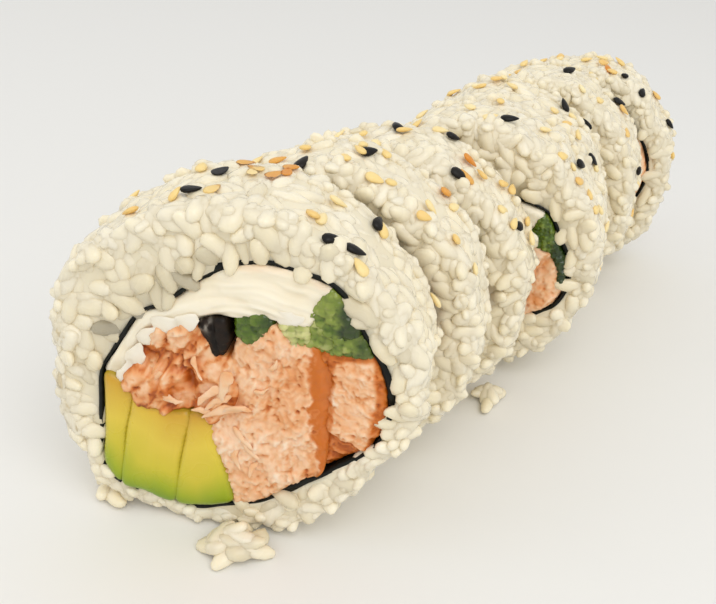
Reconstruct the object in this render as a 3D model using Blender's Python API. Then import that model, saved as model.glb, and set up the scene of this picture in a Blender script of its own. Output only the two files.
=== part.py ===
"""Uramaki roll: seven slices of an inside-out sushi roll, lying on their rice in a staggered row.

Metres, +Z up.  The row runs along +Y, its first cut face towards -Y, and rests on z = 0.
Each slice is a ring of rice, a thin ring of nori in it and the fillings that run through it.
"""
import math

import bmesh
import bpy
from mathutils import Vector

MM = 0.001

# ---------------------------------------------------------------- driving sizes (millimetres)
NORI_GAP = 0.30          # from the fillings' line out to the nori's inner side
NORI_THICK = 0.50        # one sheet of roasted seaweed, two layers at the lap
RICE_GAP = 0.35          # from the nori's outer side to the rice
FILLING_INSET = 0.20     # every filling stands back this much from its drawn outline
END_ROUND = 0.70         # rounding of a filling's cut ends
RICE_ROUND = 2.40        # rounding of the rice ring's outer edges
RING_LEAST = 3.20        # least width of the rice ring anywhere
FOOT_FLAT = 0.60         # how much of the rice's underside the board has pressed flat
LUMP = 0.45              # height of the uneven lumps on the rice's outer side

RICE_COLUMNS_FIRST = 48
RICE_COLUMNS = 32

# One row per slice: centre x, centre y, turn about +Z in degrees (anticlockwise from above),
# half width, half height, thickness, size of the filling against the first slice's,
# turn of the filling in its plane, whether the filling is the mirror image, how far it is
# moved to the right and up,
# and the flattened place on the outline (angle, depth, spread in degrees).
SLICES = [
    dict(x=0.0, y=0.0, turn=25.5, ru=27.8, rv=27.2, thick=18.5, fill=1.00, roll=0.0, flip=False, dent=(0.0, 0.0, 30.0), shift=(0.0, 0.0)),
    dict(x=-1.1, y=21.6, turn=21.5, ru=26.5, rv=26.8, thick=15.5, fill=0.84, roll=14.0, flip=False, dent=(140.0, 1.2, 30.0), shift=(0.0, 0.0)),
    dict(x=-2.1, y=40.6, turn=19.0, ru=26.8, rv=25.6, thick=15.5, fill=0.84, roll=-12.0, flip=False, dent=(140.0, 1.5, 30.0), shift=(0.0, 0.0)),
    dict(x=1.8, y=61.5, turn=17.5, ru=27.6, rv=26.2, thick=16.5, fill=0.68, roll=0.0, flip=False, dent=(135.0, 4.5, 28.0), shift=(7.2, -3.0)),
    dict(x=-2.6, y=80.1, turn=16.0, ru=24.8, rv=25.6, thick=17.0, fill=0.80, roll=20.0, flip=True, dent=(135.0, 3.0, 28.0), shift=(0.0, 0.0)),
    dict(x=-1.4, y=100.0, turn=15.5, ru=23.8, rv=25.4, thick=17.0, fill=0.72, roll=-25.0, flip=False, dent=(140.0, 0.5, 30.0), shift=(-1.5, 0.0)),
    dict(x=0.4, y=119.9, turn=16.5, ru=22.9, rv=24.6, thick=17.0, fill=0.80, roll=8.0, flip=False, dent=(150.0, 0.5, 30.0), shift=(0.0, 0.0)),
]

# Radius of the first slice's rice every 15 degrees, from the right and anticlockwise.
FIRST_RADII = [27.5, 28.2, 28.2, 27.2, 27.8, 28.3, 28.2, 28.1, 28.2, 28.6, 29.0, 28.3,
               28.0, 28.6, 30.0, 30.8, 29.8, 28.2, 27.4, 27.6, 26.2, 25.0, 25.0, 26.4]

# The line round the fillings of the first slice, (right, up) from the slice's middle.
FILLING_LINE = [(-20, -11.5), (-19.5, -4.5), (-19, -0.5), (-17, 3), (-15, 6.5), (-13, 9.5),
                (-9.5, 11.5), (-6, 14.5), (-3, 17), (0.5, 19), (5, 19.8), (9, 19.2),
                (13.5, 17.8), (16, 15), (17.5, 11.5), (19.5, 8.5), (21.2, 5), (22, 1),
                (21.5, -3.5), (19.5, -8), (17, -10), (13, -13), (9.5, -15.5), (6, -18.5),
                (3, -20.5), (-0.5, -21.3), (-5, -23), (-9.5, -22.7), (-14.5, -21.7),
                (-18, -20.5), (-20.5, -17.5)]

CHEESE = [(-19, -0.5), (-17, 3), (-15, 6.5), (-13, 9.5), (-9.5, 11.5), (-6, 14.5), (-3, 17),
          (0.5, 19), (5, 19.8), (9, 19.2), (13.5, 17.8), (12, 15.5), (11.3, 13.2), (10.3, 12),
          (8.5, 12.2), (4.5, 12.6), (1, 12), (-2, 12.2), (-5, 11), (-6.5, 9.8), (-10, 9),
          (-12, 8.3), (-13.3, 6), (-14.3, 3.5), (-15.2, 1), (-16.2, -1.8)]
CUCUMBER_DARK = [(1, 12), (4.5, 12.6), (5.6, 11.2), (4, 9), (2.5, 8), (0.8, 9.2)]
CUCUMBER_LIGHT = [(6.8, 11.6), (8.5, 12.2), (10.3, 12), (10.8, 11), (10.4, 8.6), (9.5, 8.5), (8, 9.5)]
CUCUMBER_TOP = [(13.5, 17.8), (16, 15), (17.5, 11.5), (13.6, 10.8), (11.3, 13.2), (12, 15.5)]
CUCUMBER_LOW = [(10.3, 12), (11.3, 13.2), (13.6, 10.8), (14.4, 10), (14.2, 8.2), (10.4, 8.6), (10.8, 11)]
CUCUMBER_RIGHT = [(17.5, 11.5), (19.5, 8.5), (14.2, 8.2), (14.4, 10), (13.6, 10.8)]
CURL = [(-5, 10.2), (-4, 11), (-2, 11.5), (-0.8, 11.2), (-0.2, 9.5), (0, 7.5), (-0.8, 5.5),
        (-2, 4.8), (-3, 5.3), (-3.6, 7), (-4.4, 8.2)]
SALMON_LEFT = [(-16.2, -1.8), (-15.2, 1), (-14.3, 3.5), (-13.3, 6), (-12, 8.3), (-10, 9),
               (-6.5, 9.8), (-5, 10.2), (-4.4, 8.2), (-3.6, 7), (-3, 5.3), (-2, 4.8), (0, 4),
               (0.5, 0), (-0.5, -3.5), (-3.4, -6.4), (-6.6, -5.6), (-10.5, -5.7),
               (-14, -4.7), (-15, -3.2)]
SALMON_MAIN = [(0.5, 0), (0, 4), (0.5, 6), (1, 8), (2.5, 8), (4, 9), (5.8, 10.9), (8, 9.5),
               (9.5, 8.5), (10.4, 8.6), (12, 8.2), (12.6, 6.4), (13.9, 5.4), (14.4, 4), (14.2, 0),
               (14, -3), (13.7, -6.4), (13.6, -10), (13, -13), (9.5, -15.5), (6, -18.5),
               (3, -20.5), (-0.5, -21.3), (-0.5, -19), (-1.3, -15.3), (-2.4, -11.3),
               (-3.4, -6.4), (-0.5, -3.5)]
SALMON_SIDE = [(12, 8.2), (14.2, 8.2), (19.5, 8.5), (21.2, 5), (22, 1), (21.5, -3.5),
               (19.5, -8), (17, -10), (16, -8.4), (13.7, -6.4), (14, -3), (14.2, 0), (14.4, 4),
               (13.9, 5.4), (12.6, 6.4)]
AVOCADO_A = [(-19, -0.5), (-16.2, -1.8), (-15, -3.2), (-15.8, -7), (-16.8, -11.5),
             (-18, -20.5), (-20.5, -17.5), (-20, -11.5), (-19.5, -4.5)]
AVOCADO_B = [(-15, -3.2), (-14, -4.7), (-10.5, -5.7), (-6.6, -5.6), (-7.5, -10.5),
             (-8.4, -15), (-9.5, -22.7), (-14.5, -21.7), (-18, -20.5), (-16.8, -11.5), (-15.8, -7)]
AVOCADO_C = [(-6.6, -5.6), (-3.4, -6.4), (-2.4, -11.3), (-1.3, -15.3), (-0.5, -19),
             (-0.5, -21.3), (-5, -23), (-9.5, -22.7), (-8.4, -15), (-7.5, -10.5)]
# The other slices show their fillings at a glimpse, so each kind is one plainer piece there.
CHEESE_ALL = [(-19, -0.5), (-17, 3), (-13, 9.5), (-6, 14.5), (0.5, 19), (5, 19.8), (9, 19.2),
              (13.5, 17.8), (11.3, 13.2), (10.3, 12), (4.5, 12.6), (-2, 12.2), (-6.5, 9.8),
              (-12, 8.3), (-15.2, 1), (-16.2, -1.8)]
CUCUMBER_ALL = [(13.5, 17.8), (16, 15), (17.5, 11.5), (19.5, 8.5), (10.4, 8.6), (10.3, 12),
                (11.3, 13.2)]
SALMON_ALL = [(-16.2, -1.8), (-15.2, 1), (-12, 8.3), (-6.5, 9.8), (-2, 12.2), (4.5, 12.6),
              (10.3, 12), (10.4, 8.6), (19.5, 8.5), (22, 1), (21.5, -3.5), (19.5, -8), (13, -13),
              (6, -18.5), (-0.5, -21.3), (-2.4, -11.3), (-3.4, -6.4), (-14, -4.7)]
# The fourth slice's cucumber runs down its right side, which shows past the third slice.
CUCUMBER_FOURTH = [(13.5, 17.8), (16, 15), (17.5, 11.5), (19.5, 8.5), (21.2, 5), (22, 1),
                   (21.6, -2.5), (20.2, -2), (19.9, 1.5), (18.4, 5), (16, 7.4), (10.4, 8.6),
                   (10.3, 12), (11.3, 13.2)]
SALMON_FOURTH = [(-16.2, -1.8), (-15.2, 1), (-12, 8.3), (-6.5, 9.8), (-2, 12.2), (4.5, 12.6),
                 (10.3, 12), (10.4, 8.6), (16, 7.4), (18.4, 5), (19.9, 1.5), (20.2, -2),
                 (21.6, -2.5), (21.5, -3.5), (19.5, -8), (13, -13), (6, -18.5), (-0.5, -21.3),
                 (-2.4, -11.3), (-3.4, -6.4), (-14, -4.7)]
AVOCADO_ALL = [(-19, -0.5), (-16.2, -1.8), (-14, -4.7), (-3.4, -6.4), (-2.4, -11.3),
               (-0.7, -20.9), (-5, -22.4), (-14.2, -21), (-17.2, -19.4), (-19.4, -16.8),
               (-19.4, -11.5)]

# How far each filling's cut end stands out of (+) or back from (-) the rice's cut face.
PROUD = dict(cheese=-0.2, cucumber=0.0, curl=0.5, salmon=0.3, avocado=0.6)

# Clumps of rice that came off on the board: middle x, y, half sizes, turn.
CLUMPS = [
    dict(name="rice_clump_front", x=7.0, y=-12.4, half=(5.8, 3.6, 3.0), turn=25.0),
    dict(name="rice_clump_side", x=18.6, y=48.6, half=(2.9, 2.6, 2.0), turn=-10.0),
]

# ---------------------------------------------------------------- colours (sRGB, 0-255)
COLOURS = dict(
    rice=(238, 226, 203), nori=(10, 12, 10), cream_cheese=(243, 233, 210),
    salmon=(232, 165, 118), avocado=(190, 176, 50), cucumber=(104, 118, 46),
    olive=(38, 28, 18),
)
ROUGHNESS = dict(rice=0.45, nori=0.4, cream_cheese=0.4, salmon=0.42, avocado=0.35,
                 cucumber=0.25, olive=0.3)


def clear():
    """Take every object and mesh out of the file."""
    for ob in list(bpy.data.objects):
        bpy.data.objects.remove(ob, do_unlink=True)
    for me in list(bpy.data.meshes):
        bpy.data.meshes.remove(me)


def linear(v):
    """One sRGB channel, 0-255, as a linear value."""
    v = v / 255.0
    return v / 12.92 if v <= 0.04045 else ((v + 0.055) / 1.055) ** 2.4


def material(name):
    """The named Principled material, made once."""
    if name in bpy.data.materials:
        return bpy.data.materials[name]
    mat = bpy.data.materials.new(name)
    mat.use_nodes = True
    node = mat.node_tree.nodes["Principled BSDF"]
    node.inputs["Base Color"].default_value = (*[linear(c) for c in COLOURS[name]], 1.0)
    node.inputs["Roughness"].default_value = ROUGHNESS[name]
    return mat


def finish(bm, name, mat):
    """Turn a bmesh into a named object with outward faces and its own material."""
    bmesh.ops.recalc_face_normals(bm, faces=bm.faces[:])
    volume = bm.calc_volume(signed=True)
    if volume < 0:
        bmesh.ops.reverse_faces(bm, faces=bm.faces[:])
    me = bpy.data.meshes.new(name)
    bm.to_mesh(me)
    bm.free()
    me.materials.append(material(mat))
    ob = bpy.data.objects.new(name, me)
    bpy.context.scene.collection.objects.link(ob)
    return ob


def area(line):
    """Signed area of a closed outline."""
    n = len(line)
    return 0.5 * sum(line[i][0] * line[(i + 1) % n][1] - line[(i + 1) % n][0] * line[i][1] for i in range(n))


def offset(line, out):
    """A closed anticlockwise outline moved outward by `out` (inward if negative)."""
    n = len(line)
    res = []
    for i in range(n):
        p, q, r = line[i - 1], line[i], line[(i + 1) % n]
        d1 = Vector((q[0] - p[0], q[1] - p[1])).normalized()
        d2 = Vector((r[0] - q[0], r[1] - q[1])).normalized()
        n1 = Vector((d1.y, -d1.x))
        n2 = Vector((d2.y, -d2.x))
        mid = (n1 + n2)
        mid = mid.normalized() if mid.length > 1e-6 else n1
        k = out / max(0.5, mid.dot(n1))
        res.append((q[0] + mid.x * k, q[1] + mid.y * k))
    return res


def spline(line, count):
    """A closed Catmull-Rom curve through the outline, sampled evenly by length."""
    n = len(line)
    fine = []
    for i in range(n):
        p0, p1, p2, p3 = (line[(i + k) % n] for k in (-1, 0, 1, 2))
        for s in range(12):
            t = s / 12.0
            fine.append(tuple(0.5 * (2 * p1[a] + (p2[a] - p0[a]) * t
                                     + (2 * p0[a] - 5 * p1[a] + 4 * p2[a] - p3[a]) * t * t
                                     + (3 * p1[a] - p0[a] - 3 * p2[a] + p3[a]) * t ** 3) for a in (0, 1)))
    run = [0.0]
    for i in range(len(fine)):
        a, b = fine[i], fine[(i + 1) % len(fine)]
        run.append(run[-1] + math.hypot(b[0] - a[0], b[1] - a[1]))
    out = []
    j = 0
    for k in range(count):
        want = run[-1] * k / count
        while run[j + 1] < want:
            j += 1
        t = (want - run[j]) / (run[j + 1] - run[j])
        a, b = fine[j], fine[(j + 1) % len(fine)]
        out.append((a[0] + (b[0] - a[0]) * t, a[1] + (b[1] - a[1]) * t))
    return out


def anticlockwise(line):
    """The same outline, turning anticlockwise."""
    return list(line) if area(line) > 0 else list(reversed(line))


class Slice:
    """One slice: its place, its outlines and the solids made from them."""

    def __init__(self, index, row):
        self.index = index
        self.row = row
        t = math.radians(row["turn"])
        self.right = Vector((math.cos(t), math.sin(t), 0.0))
        self.back = Vector((-math.sin(t), math.cos(t), 0.0))
        self.middle = Vector((row["x"], row["y"], row["rv"]))
        self.half = row["thick"] / 2.0
        self.line = anticlockwise([self.filling_point(p) for p in FILLING_LINE])

    def filling_point(self, p):
        """A point of the first slice's filling, turned and sized for this slice."""
        row = self.row
        if row["fill"] == 1.0 and not row["flip"] and row["roll"] == 0.0:
            return (float(p[0]), float(p[1]))
        u, v = (p[0] - 0.5) * row["fill"], (p[1] + 1.5) * row["fill"]
        if row["flip"]:
            u = -u
        a = math.radians(row["roll"])
        du, dv = row["shift"]
        return (u * math.cos(a) - v * math.sin(a) + du, u * math.sin(a) + v * math.cos(a) + dv)

    def place(self, u, v, w):
        """A point of the slice's own frame in the row's frame, in metres."""
        return (self.middle + self.right * u + Vector((0, 0, v)) + self.back * w) * MM

    def rice_radius(self, angle):
        """Radius of the rice's outer side at an angle in degrees."""
        row = self.row
        if self.index == 1:
            a = (angle % 360.0) / 15.0
            i = int(a) % 24
            f = a - int(a)
            f = f * f * (3 - 2 * f)
            base = FIRST_RADII[i] * (1 - f) + FIRST_RADII[(i + 1) % 24] * f
        else:
            c, s = math.cos(math.radians(angle)), math.sin(math.radians(angle))
            base = 1.0 / math.sqrt((c / row["ru"]) ** 2 + (s / row["rv"]) ** 2)
            where, deep, wide = row["dent"]
            off = (angle - where + 180.0) % 360.0 - 180.0
            base -= deep * math.exp(-(off / wide) ** 2)
        k = self.index * 1.7
        a = math.radians(angle)
        base += LUMP * (0.6 * math.sin(7 * a + k) + 0.4 * math.sin(12 * a + 2.3 * k))
        return base

    def columns(self):
        """How many columns the rice and the nori of this slice have."""
        return RICE_COLUMNS_FIRST if self.index == 1 else RICE_COLUMNS

    def hole(self):
        """Radius of the hole in the rice at every column, and its slant there."""
        line = offset(spline(self.line, 120), NORI_GAP + NORI_THICK + RICE_GAP)
        polar = sorted((math.degrees(math.atan2(v, u)) % 360.0, math.hypot(u, v)) for u, v in line)
        polar = [(polar[-1][0] - 360.0, polar[-1][1])] + polar + [(polar[0][0] + 360.0, polar[0][1])]
        count = self.columns()
        radii = []
        for i in range(count):
            angle = 360.0 * i / count
            j = 0
            while polar[j + 1][0] < angle:
                j += 1
            f = (angle - polar[j][0]) / max(1e-6, polar[j + 1][0] - polar[j][0])
            radii.append(polar[j][1] + (polar[j + 1][1] - polar[j][1]) * f)
        out = []
        for i in range(count):
            step = math.radians(720.0 / count)
            slope = (radii[(i + 1) % count] - radii[i - 1]) / step / radii[i]
            out.append((radii[i], min(1.5, math.sqrt(1.0 + slope * slope))))
        return out

    def ring(self, step):
        """The hole's outline drawn in by a distance."""
        out = []
        for i, (r, slant) in enumerate(self.hole()):
            a = 2.0 * math.pi * i / self.columns()
            out.append(((r - step * slant) * math.cos(a), (r - step * slant) * math.sin(a)))
        return out

    def rice_outline(self):
        """The rice's outer outline, kept clear of the nori and flat where it stands."""
        out = []
        floor = -self.row["rv"]
        for i, (hole, slant) in enumerate(self.hole()):
            angle = 360.0 * i / self.columns()
            a = math.radians(angle)
            r = max(self.rice_radius(angle), hole + RING_LEAST)
            u, v = r * math.cos(a), max(r * math.sin(a), floor)
            if v < floor + FOOT_FLAT:
                v = floor
            out.append((u, v))
        return out

    def rice(self):
        """The ring of rice with rounded outer edges and a hole for the nori."""
        count = self.columns()
        outer = self.rice_outline()
        inner = self.ring(0.0)
        h = self.half
        small = [self.pull(outer[i], inner[i], RICE_ROUND) for i in range(count)]
        tiny = [self.pull(outer[i], inner[i], RICE_ROUND * 0.3) for i in range(count)]
        rings = [(inner, -h), (small, -h), (tiny, -h + RICE_ROUND * 0.3), (outer, -h + RICE_ROUND),
                 (outer, h - RICE_ROUND), (tiny, h - RICE_ROUND * 0.3), (small, h), (inner, h)]
        bm = bmesh.new()
        rows = [[bm.verts.new(self.place(p[0], p[1], w)) for p in line] for line, w in rings]
        for k in range(len(rows)):
            a, b = rows[k], rows[(k + 1) % len(rows)]
            for i in range(count):
                j = (i + 1) % count
                bm.faces.new((a[i], a[j], b[j], b[i]))
        return finish(bm, "rice_%d" % self.index, "rice")

    def pull(self, p, q, by):
        """Point p moved towards q by a distance, but never below the floor plane's edge."""
        d = Vector((q[0] - p[0], q[1] - p[1]))
        d = d.normalized() * min(by, d.length * 0.6)
        return (p[0] + d.x, p[1] + d.y)

    def nori(self):
        """The thin closed ring of nori."""
        count = self.columns()
        outer = self.ring(RICE_GAP)
        inner = self.ring(RICE_GAP + NORI_THICK)
        h = self.half - 0.3
        bm = bmesh.new()
        rows = [[bm.verts.new(self.place(p[0], p[1], w)) for p in ring]
                for ring, w in ((inner, -h), (outer, -h), (outer, h), (inner, h))]
        for k in range(4):
            a, b = rows[k], rows[(k + 1) % 4]
            for i in range(count):
                j = (i + 1) % count
                bm.faces.new((a[i], a[j], b[j], b[i]))
        return finish(bm, "nori_%d" % self.index, "nori")

    def filling(self, name, mat, line, proud):
        """One filling running right through the slice, its cut ends rounded."""
        shape = offset(anticlockwise([self.filling_point(p) for p in line]), -FILLING_INSET)
        ends = offset(shape, -END_ROUND * 0.45)
        h = self.half + proud
        bm = bmesh.new()
        rows = [[bm.verts.new(self.place(p[0], p[1], w)) for p in ring]
                for ring, w in ((ends, -h), (shape, -h + END_ROUND), (shape, h - END_ROUND), (ends, h))]
        n = len(shape)
        for k in range(3):
            a, b = rows[k], rows[k + 1]
            for i in range(n):
                j = (i + 1) % n
                bm.faces.new((a[i], a[j], b[j], b[i]))
        bm.faces.new(list(reversed(rows[0])))
        bm.faces.new(rows[3])
        return finish(bm, "%s_%d" % (name, self.index), mat)

    def build(self):
        """Every solid of the slice."""
        self.rice()
        self.nori()
        if self.index == 1:
            self.filling("cream_cheese", "cream_cheese", CHEESE, PROUD["cheese"])
            self.filling("salmon_flakes", "salmon", SALMON_LEFT, PROUD["salmon"])
            self.filling("salmon", "salmon", SALMON_MAIN, PROUD["salmon"])
            self.filling("salmon_side", "salmon", SALMON_SIDE, PROUD["salmon"] - 0.3)
            self.filling("avocado_left", "avocado", AVOCADO_A, PROUD["avocado"])
            self.filling("avocado", "avocado", AVOCADO_B, PROUD["avocado"])
            self.filling("avocado_right", "avocado", AVOCADO_C, PROUD["avocado"])
            self.filling("cucumber_dark", "cucumber", CUCUMBER_DARK, PROUD["cucumber"])
            self.filling("cucumber_light", "cucumber", CUCUMBER_LIGHT, PROUD["cucumber"])
            self.filling("cucumber_top", "cucumber", CUCUMBER_TOP, PROUD["cucumber"])
            self.filling("cucumber_low", "cucumber", CUCUMBER_LOW, PROUD["cucumber"] - 0.2)
            self.filling("cucumber_right", "cucumber", CUCUMBER_RIGHT, PROUD["cucumber"])
            self.filling("olive_curl", "olive", CURL, PROUD["curl"])
        else:
            self.filling("cream_cheese", "cream_cheese", CHEESE_ALL, PROUD["cheese"])
            fourth = self.index == 4
            self.filling("salmon", "salmon", SALMON_FOURTH if fourth else SALMON_ALL, PROUD["salmon"])
            self.filling("avocado", "avocado", AVOCADO_ALL, PROUD["avocado"] - 0.3)
            self.filling("cucumber", "cucumber", CUCUMBER_FOURTH if fourth else CUCUMBER_ALL, PROUD["cucumber"])


def clump(row):
    """A small heap of loose rice standing on z = 0."""
    bm = bmesh.new()
    bmesh.ops.create_icosphere(bm, subdivisions=2, radius=1.0)
    hx, hy, hz = row["half"]
    t = math.radians(row["turn"])
    for v in bm.verts:
        x, y, z = v.co
        bump = 1.0 + 0.10 * math.sin(5.0 * x + 3.0 * y) * math.cos(4.0 * z)
        x, y = x * hx * bump, y * hy * bump
        z = max(0.0, (z + 0.72) * hz * bump)
        v.co = Vector((row["x"] + x * math.cos(t) - y * math.sin(t),
                       row["y"] + x * math.sin(t) + y * math.cos(t), z)) * MM
    return finish(bm, row["name"], "rice")


def centre():
    """Put the middle of the whole row's box over the origin and its lowest point at z = 0."""
    low = [1e9] * 3
    high = [-1e9] * 3
    for ob in bpy.data.objects:
        for v in ob.data.vertices:
            for a in range(3):
                low[a] = min(low[a], v.co[a])
                high[a] = max(high[a], v.co[a])
    move = Vector((-(low[0] + high[0]) / 2, -(low[1] + high[1]) / 2, -low[2]))
    for ob in bpy.data.objects:
        for v in ob.data.vertices:
            v.co += move
    print("moved by mm", [round(c * 1000, 3) for c in move],
          "size mm", [round((high[a] - low[a]) * 1000, 2) for a in range(3)])


def main():
    clear()
    for number, row in enumerate(SLICES, 1):
        Slice(number, row).build()
    for row in CLUMPS:
        clump(row)
    centre()


main()
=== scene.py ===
"""Looks of an uramaki roll: seven slices of an inside-out sushi roll in a staggered row.

Every slice has a core of pressed rice with real grains over it, a crinkled ring of nori, and
fillings whose cut faces are worked out as relief: streaked cream cheese, flaked salmon,
avocado that turns from yellow to green, wet cucumber and a dark olive curl.  Sesame seeds and
loose grains lie on top.  Lengths in this file are millimetres unless a name says otherwise.
"""

import logging
import math
from dataclasses import dataclass, field
from enum import Enum
from typing import Callable, Sequence

import bpy
import numpy as np
from mathutils import Matrix, Vector
from mathutils.geometry import delaunay_2d_cdt


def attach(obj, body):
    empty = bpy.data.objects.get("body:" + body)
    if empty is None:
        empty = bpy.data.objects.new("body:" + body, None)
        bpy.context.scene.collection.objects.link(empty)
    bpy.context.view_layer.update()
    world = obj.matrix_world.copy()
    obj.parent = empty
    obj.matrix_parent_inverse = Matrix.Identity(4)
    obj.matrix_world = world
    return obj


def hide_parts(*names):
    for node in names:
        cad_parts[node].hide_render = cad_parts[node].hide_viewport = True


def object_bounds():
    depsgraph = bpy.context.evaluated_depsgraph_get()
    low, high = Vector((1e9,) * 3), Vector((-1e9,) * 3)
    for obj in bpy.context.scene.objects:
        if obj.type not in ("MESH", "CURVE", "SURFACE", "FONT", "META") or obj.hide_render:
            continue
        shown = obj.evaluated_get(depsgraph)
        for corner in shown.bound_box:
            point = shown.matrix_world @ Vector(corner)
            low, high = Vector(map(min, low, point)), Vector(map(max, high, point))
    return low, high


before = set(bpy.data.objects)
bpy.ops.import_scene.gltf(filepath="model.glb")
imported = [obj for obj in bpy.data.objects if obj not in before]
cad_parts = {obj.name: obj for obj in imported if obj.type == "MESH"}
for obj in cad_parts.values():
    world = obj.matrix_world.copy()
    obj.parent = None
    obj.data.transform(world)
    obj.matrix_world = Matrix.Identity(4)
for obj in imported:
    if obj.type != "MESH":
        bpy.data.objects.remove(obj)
CAD_BOX = [[float(c) for c in corner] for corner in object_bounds()]

log = logging.getLogger("uramaki")
logging.basicConfig(level=logging.INFO, format="%(name)s: %(message)s")

MM = 0.001

# How far the row was moved to put the middle of its box over the origin.
ROW_SHIFT = np.array([-0.484, -57.239, 0.0])

# Gaps between the layers, as in the solid model.
NORI_GAP = 0.30
NORI_THICK = 0.50
RICE_GAP = 0.35
RING_LEAST = 3.20
LUMP = 0.45
# The core of pressed rice: rounding of its outer corners, and two steps across each face.
CORE_ROUND = 1.2
CORE_STEPS = (3.6, 2.4)
# Outer corners of a slice of rice, and where seeds start to lean over them.
RICE_CORNER = 2.4


# ------------------------------------------------------------------ small array tools
def linear(hex_code: str) -> tuple[float, float, float, float]:
    """Turn an sRGB hex colour into linear RGBA.

    Args:
        hex_code: six hex digits, such as "f2e6cc".
    Returns:
        Linear red, green and blue, and an alpha of 1.
    """
    channels = [int(hex_code[i:i + 2], 16) / 255.0 for i in (0, 2, 4)]
    values = [c / 12.92 if c <= 0.04045 else ((c + 0.055) / 1.055) ** 2.4 for c in channels]
    return (values[0], values[1], values[2], 1.0)


def smooth(x: np.ndarray, low: float, high: float) -> np.ndarray:
    """Ease from 0 at `low` to 1 at `high` along a cubic."""
    t = np.clip((x - low) / (high - low), 0.0, 1.0)
    return t * t * (3.0 - 2.0 * t)


def scramble(*whole: np.ndarray, seed: int) -> np.ndarray:
    """Mix whole numbers into values spread evenly from 0 to 1.

    Args:
        whole: integer arrays of one shape, one per direction.
        seed: picks another set of values.
    Returns:
        One value from 0 to 1 for each entry.
    """
    mixed = np.full(whole[0].shape, seed * 374761393 + 12345, dtype=np.int64)
    for part, prime in zip(whole, (73856093, 19349663, 83492791)):
        mixed ^= part.astype(np.int64) * prime
    mixed = (mixed ^ (mixed >> 13)) * 1274126177
    mixed = (mixed ^ (mixed >> 16)) & 0xFFFFFF
    return mixed / float(0xFFFFFF)


def noise(points: np.ndarray, size: Sequence[float], seed: int) -> np.ndarray:
    """Soft value noise: random values on a lattice, eased between along each direction.

    Args:
        points: (n, 2) or (n, 3) places.
        size: the lattice's spacing along each direction.
        seed: picks another pattern.
    Returns:
        Values from -1 to 1.
    """
    q = points / np.asarray(size)
    cell = np.floor(q)
    f = q - cell
    f = f * f * (3.0 - 2.0 * f)
    cell = cell.astype(np.int64)
    total = np.zeros(len(points))
    for corner in np.ndindex(*(2,) * q.shape[1]):
        weight = np.ones(len(points))
        for axis, bit in enumerate(corner):
            weight = weight * (f[:, axis] if bit else 1.0 - f[:, axis])
        total += weight * scramble(*[cell[:, k] + corner[k] for k in range(q.shape[1])], seed=seed)
    return 2.0 * total - 1.0


def cells(points: np.ndarray, size: Sequence[float], seed: int) -> tuple[np.ndarray, np.ndarray, np.ndarray]:
    """Crumb pattern: the plane is shared out among scattered middles, each point to its nearest.

    Args:
        points: (n, 2) places.
        size: mean width and height of a crumb.
        seed: picks another pattern.
    Returns:
        Distance to the nearest middle, how much further the second one is, and a value from
        0 to 1 that is the same all over a crumb.
    """
    q = points / np.asarray(size)
    base = np.floor(q).astype(np.int64)
    first = np.full(len(q), 9.0)
    second = np.full(len(q), 9.0)
    pick = np.zeros(len(q))
    for dx in (-1, 0, 1):
        for dy in (-1, 0, 1):
            cx, cy = base[:, 0] + dx, base[:, 1] + dy
            mx = cx + 0.15 + 0.7 * scramble(cx, cy, seed=seed)
            my = cy + 0.15 + 0.7 * scramble(cx, cy, seed=seed + 101)
            d = np.hypot(q[:, 0] - mx, q[:, 1] - my)
            nearer = d < first
            second = np.where(nearer, first, np.minimum(second, d))
            pick = np.where(nearer, scramble(cx, cy, seed=seed + 202), pick)
            first = np.where(nearer, d, first)
    return first, second - first, pick


def turned(points: np.ndarray, degrees: float) -> np.ndarray:
    """Plane points turned clockwise, so that a pattern on them runs at `degrees`."""
    a = math.radians(degrees)
    c, s = math.cos(a), math.sin(a)
    return np.stack([points[:, 0] * c + points[:, 1] * s, -points[:, 0] * s + points[:, 1] * c], 1)


def unit(v: np.ndarray) -> np.ndarray:
    """Vectors of length one."""
    return v / np.maximum(1e-9, np.linalg.norm(v, axis=-1, keepdims=True))


def curve_through(line: np.ndarray, steps: int = 16) -> np.ndarray:
    """Closed Catmull-Rom curve: a cubic between each two points, with their neighbours' slopes.

    Args:
        line: (n, 2) points of the outline.
        steps: points made for each stretch.
    Returns:
        (n * steps, 2) points.
    """
    p0, p1, p2, p3 = (np.roll(line, k, axis=0)[:, None, :] for k in (1, 0, -1, -2))
    t = (np.arange(steps) / steps)[None, :, None]
    made = 0.5 * (2 * p1 + (p2 - p0) * t + (2 * p0 - 5 * p1 + 4 * p2 - p3) * t ** 2
                  + (3 * p1 - p0 - 3 * p2 + p3) * t ** 3)
    return made.reshape(-1, 2)


def even(line: np.ndarray, spacing: float) -> np.ndarray:
    """A closed outline resampled at even steps of about `spacing`."""
    shut = np.vstack([line, line[:1]])
    run = np.concatenate([[0.0], np.cumsum(np.linalg.norm(np.diff(shut, axis=0), axis=1))])
    count = max(12, int(round(run[-1] / spacing)))
    at = np.arange(count) * run[-1] / count
    return np.stack([np.interp(at, run, shut[:, k]) for k in (0, 1)], 1)


def moved_out(line: np.ndarray, by: float) -> np.ndarray:
    """An anticlockwise outline moved outward along its own normals."""
    along = unit(np.roll(line, -1, axis=0) - np.roll(line, 1, axis=0))
    return line + by * np.stack([along[:, 1], -along[:, 0]], 1)


def anticlockwise(line: np.ndarray) -> np.ndarray:
    """The outline, turning anticlockwise."""
    nxt = np.roll(line, -1, axis=0)
    area = np.sum(line[:, 0] * nxt[:, 1] - nxt[:, 0] * line[:, 1])
    return line if area > 0 else line[::-1]


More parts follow.
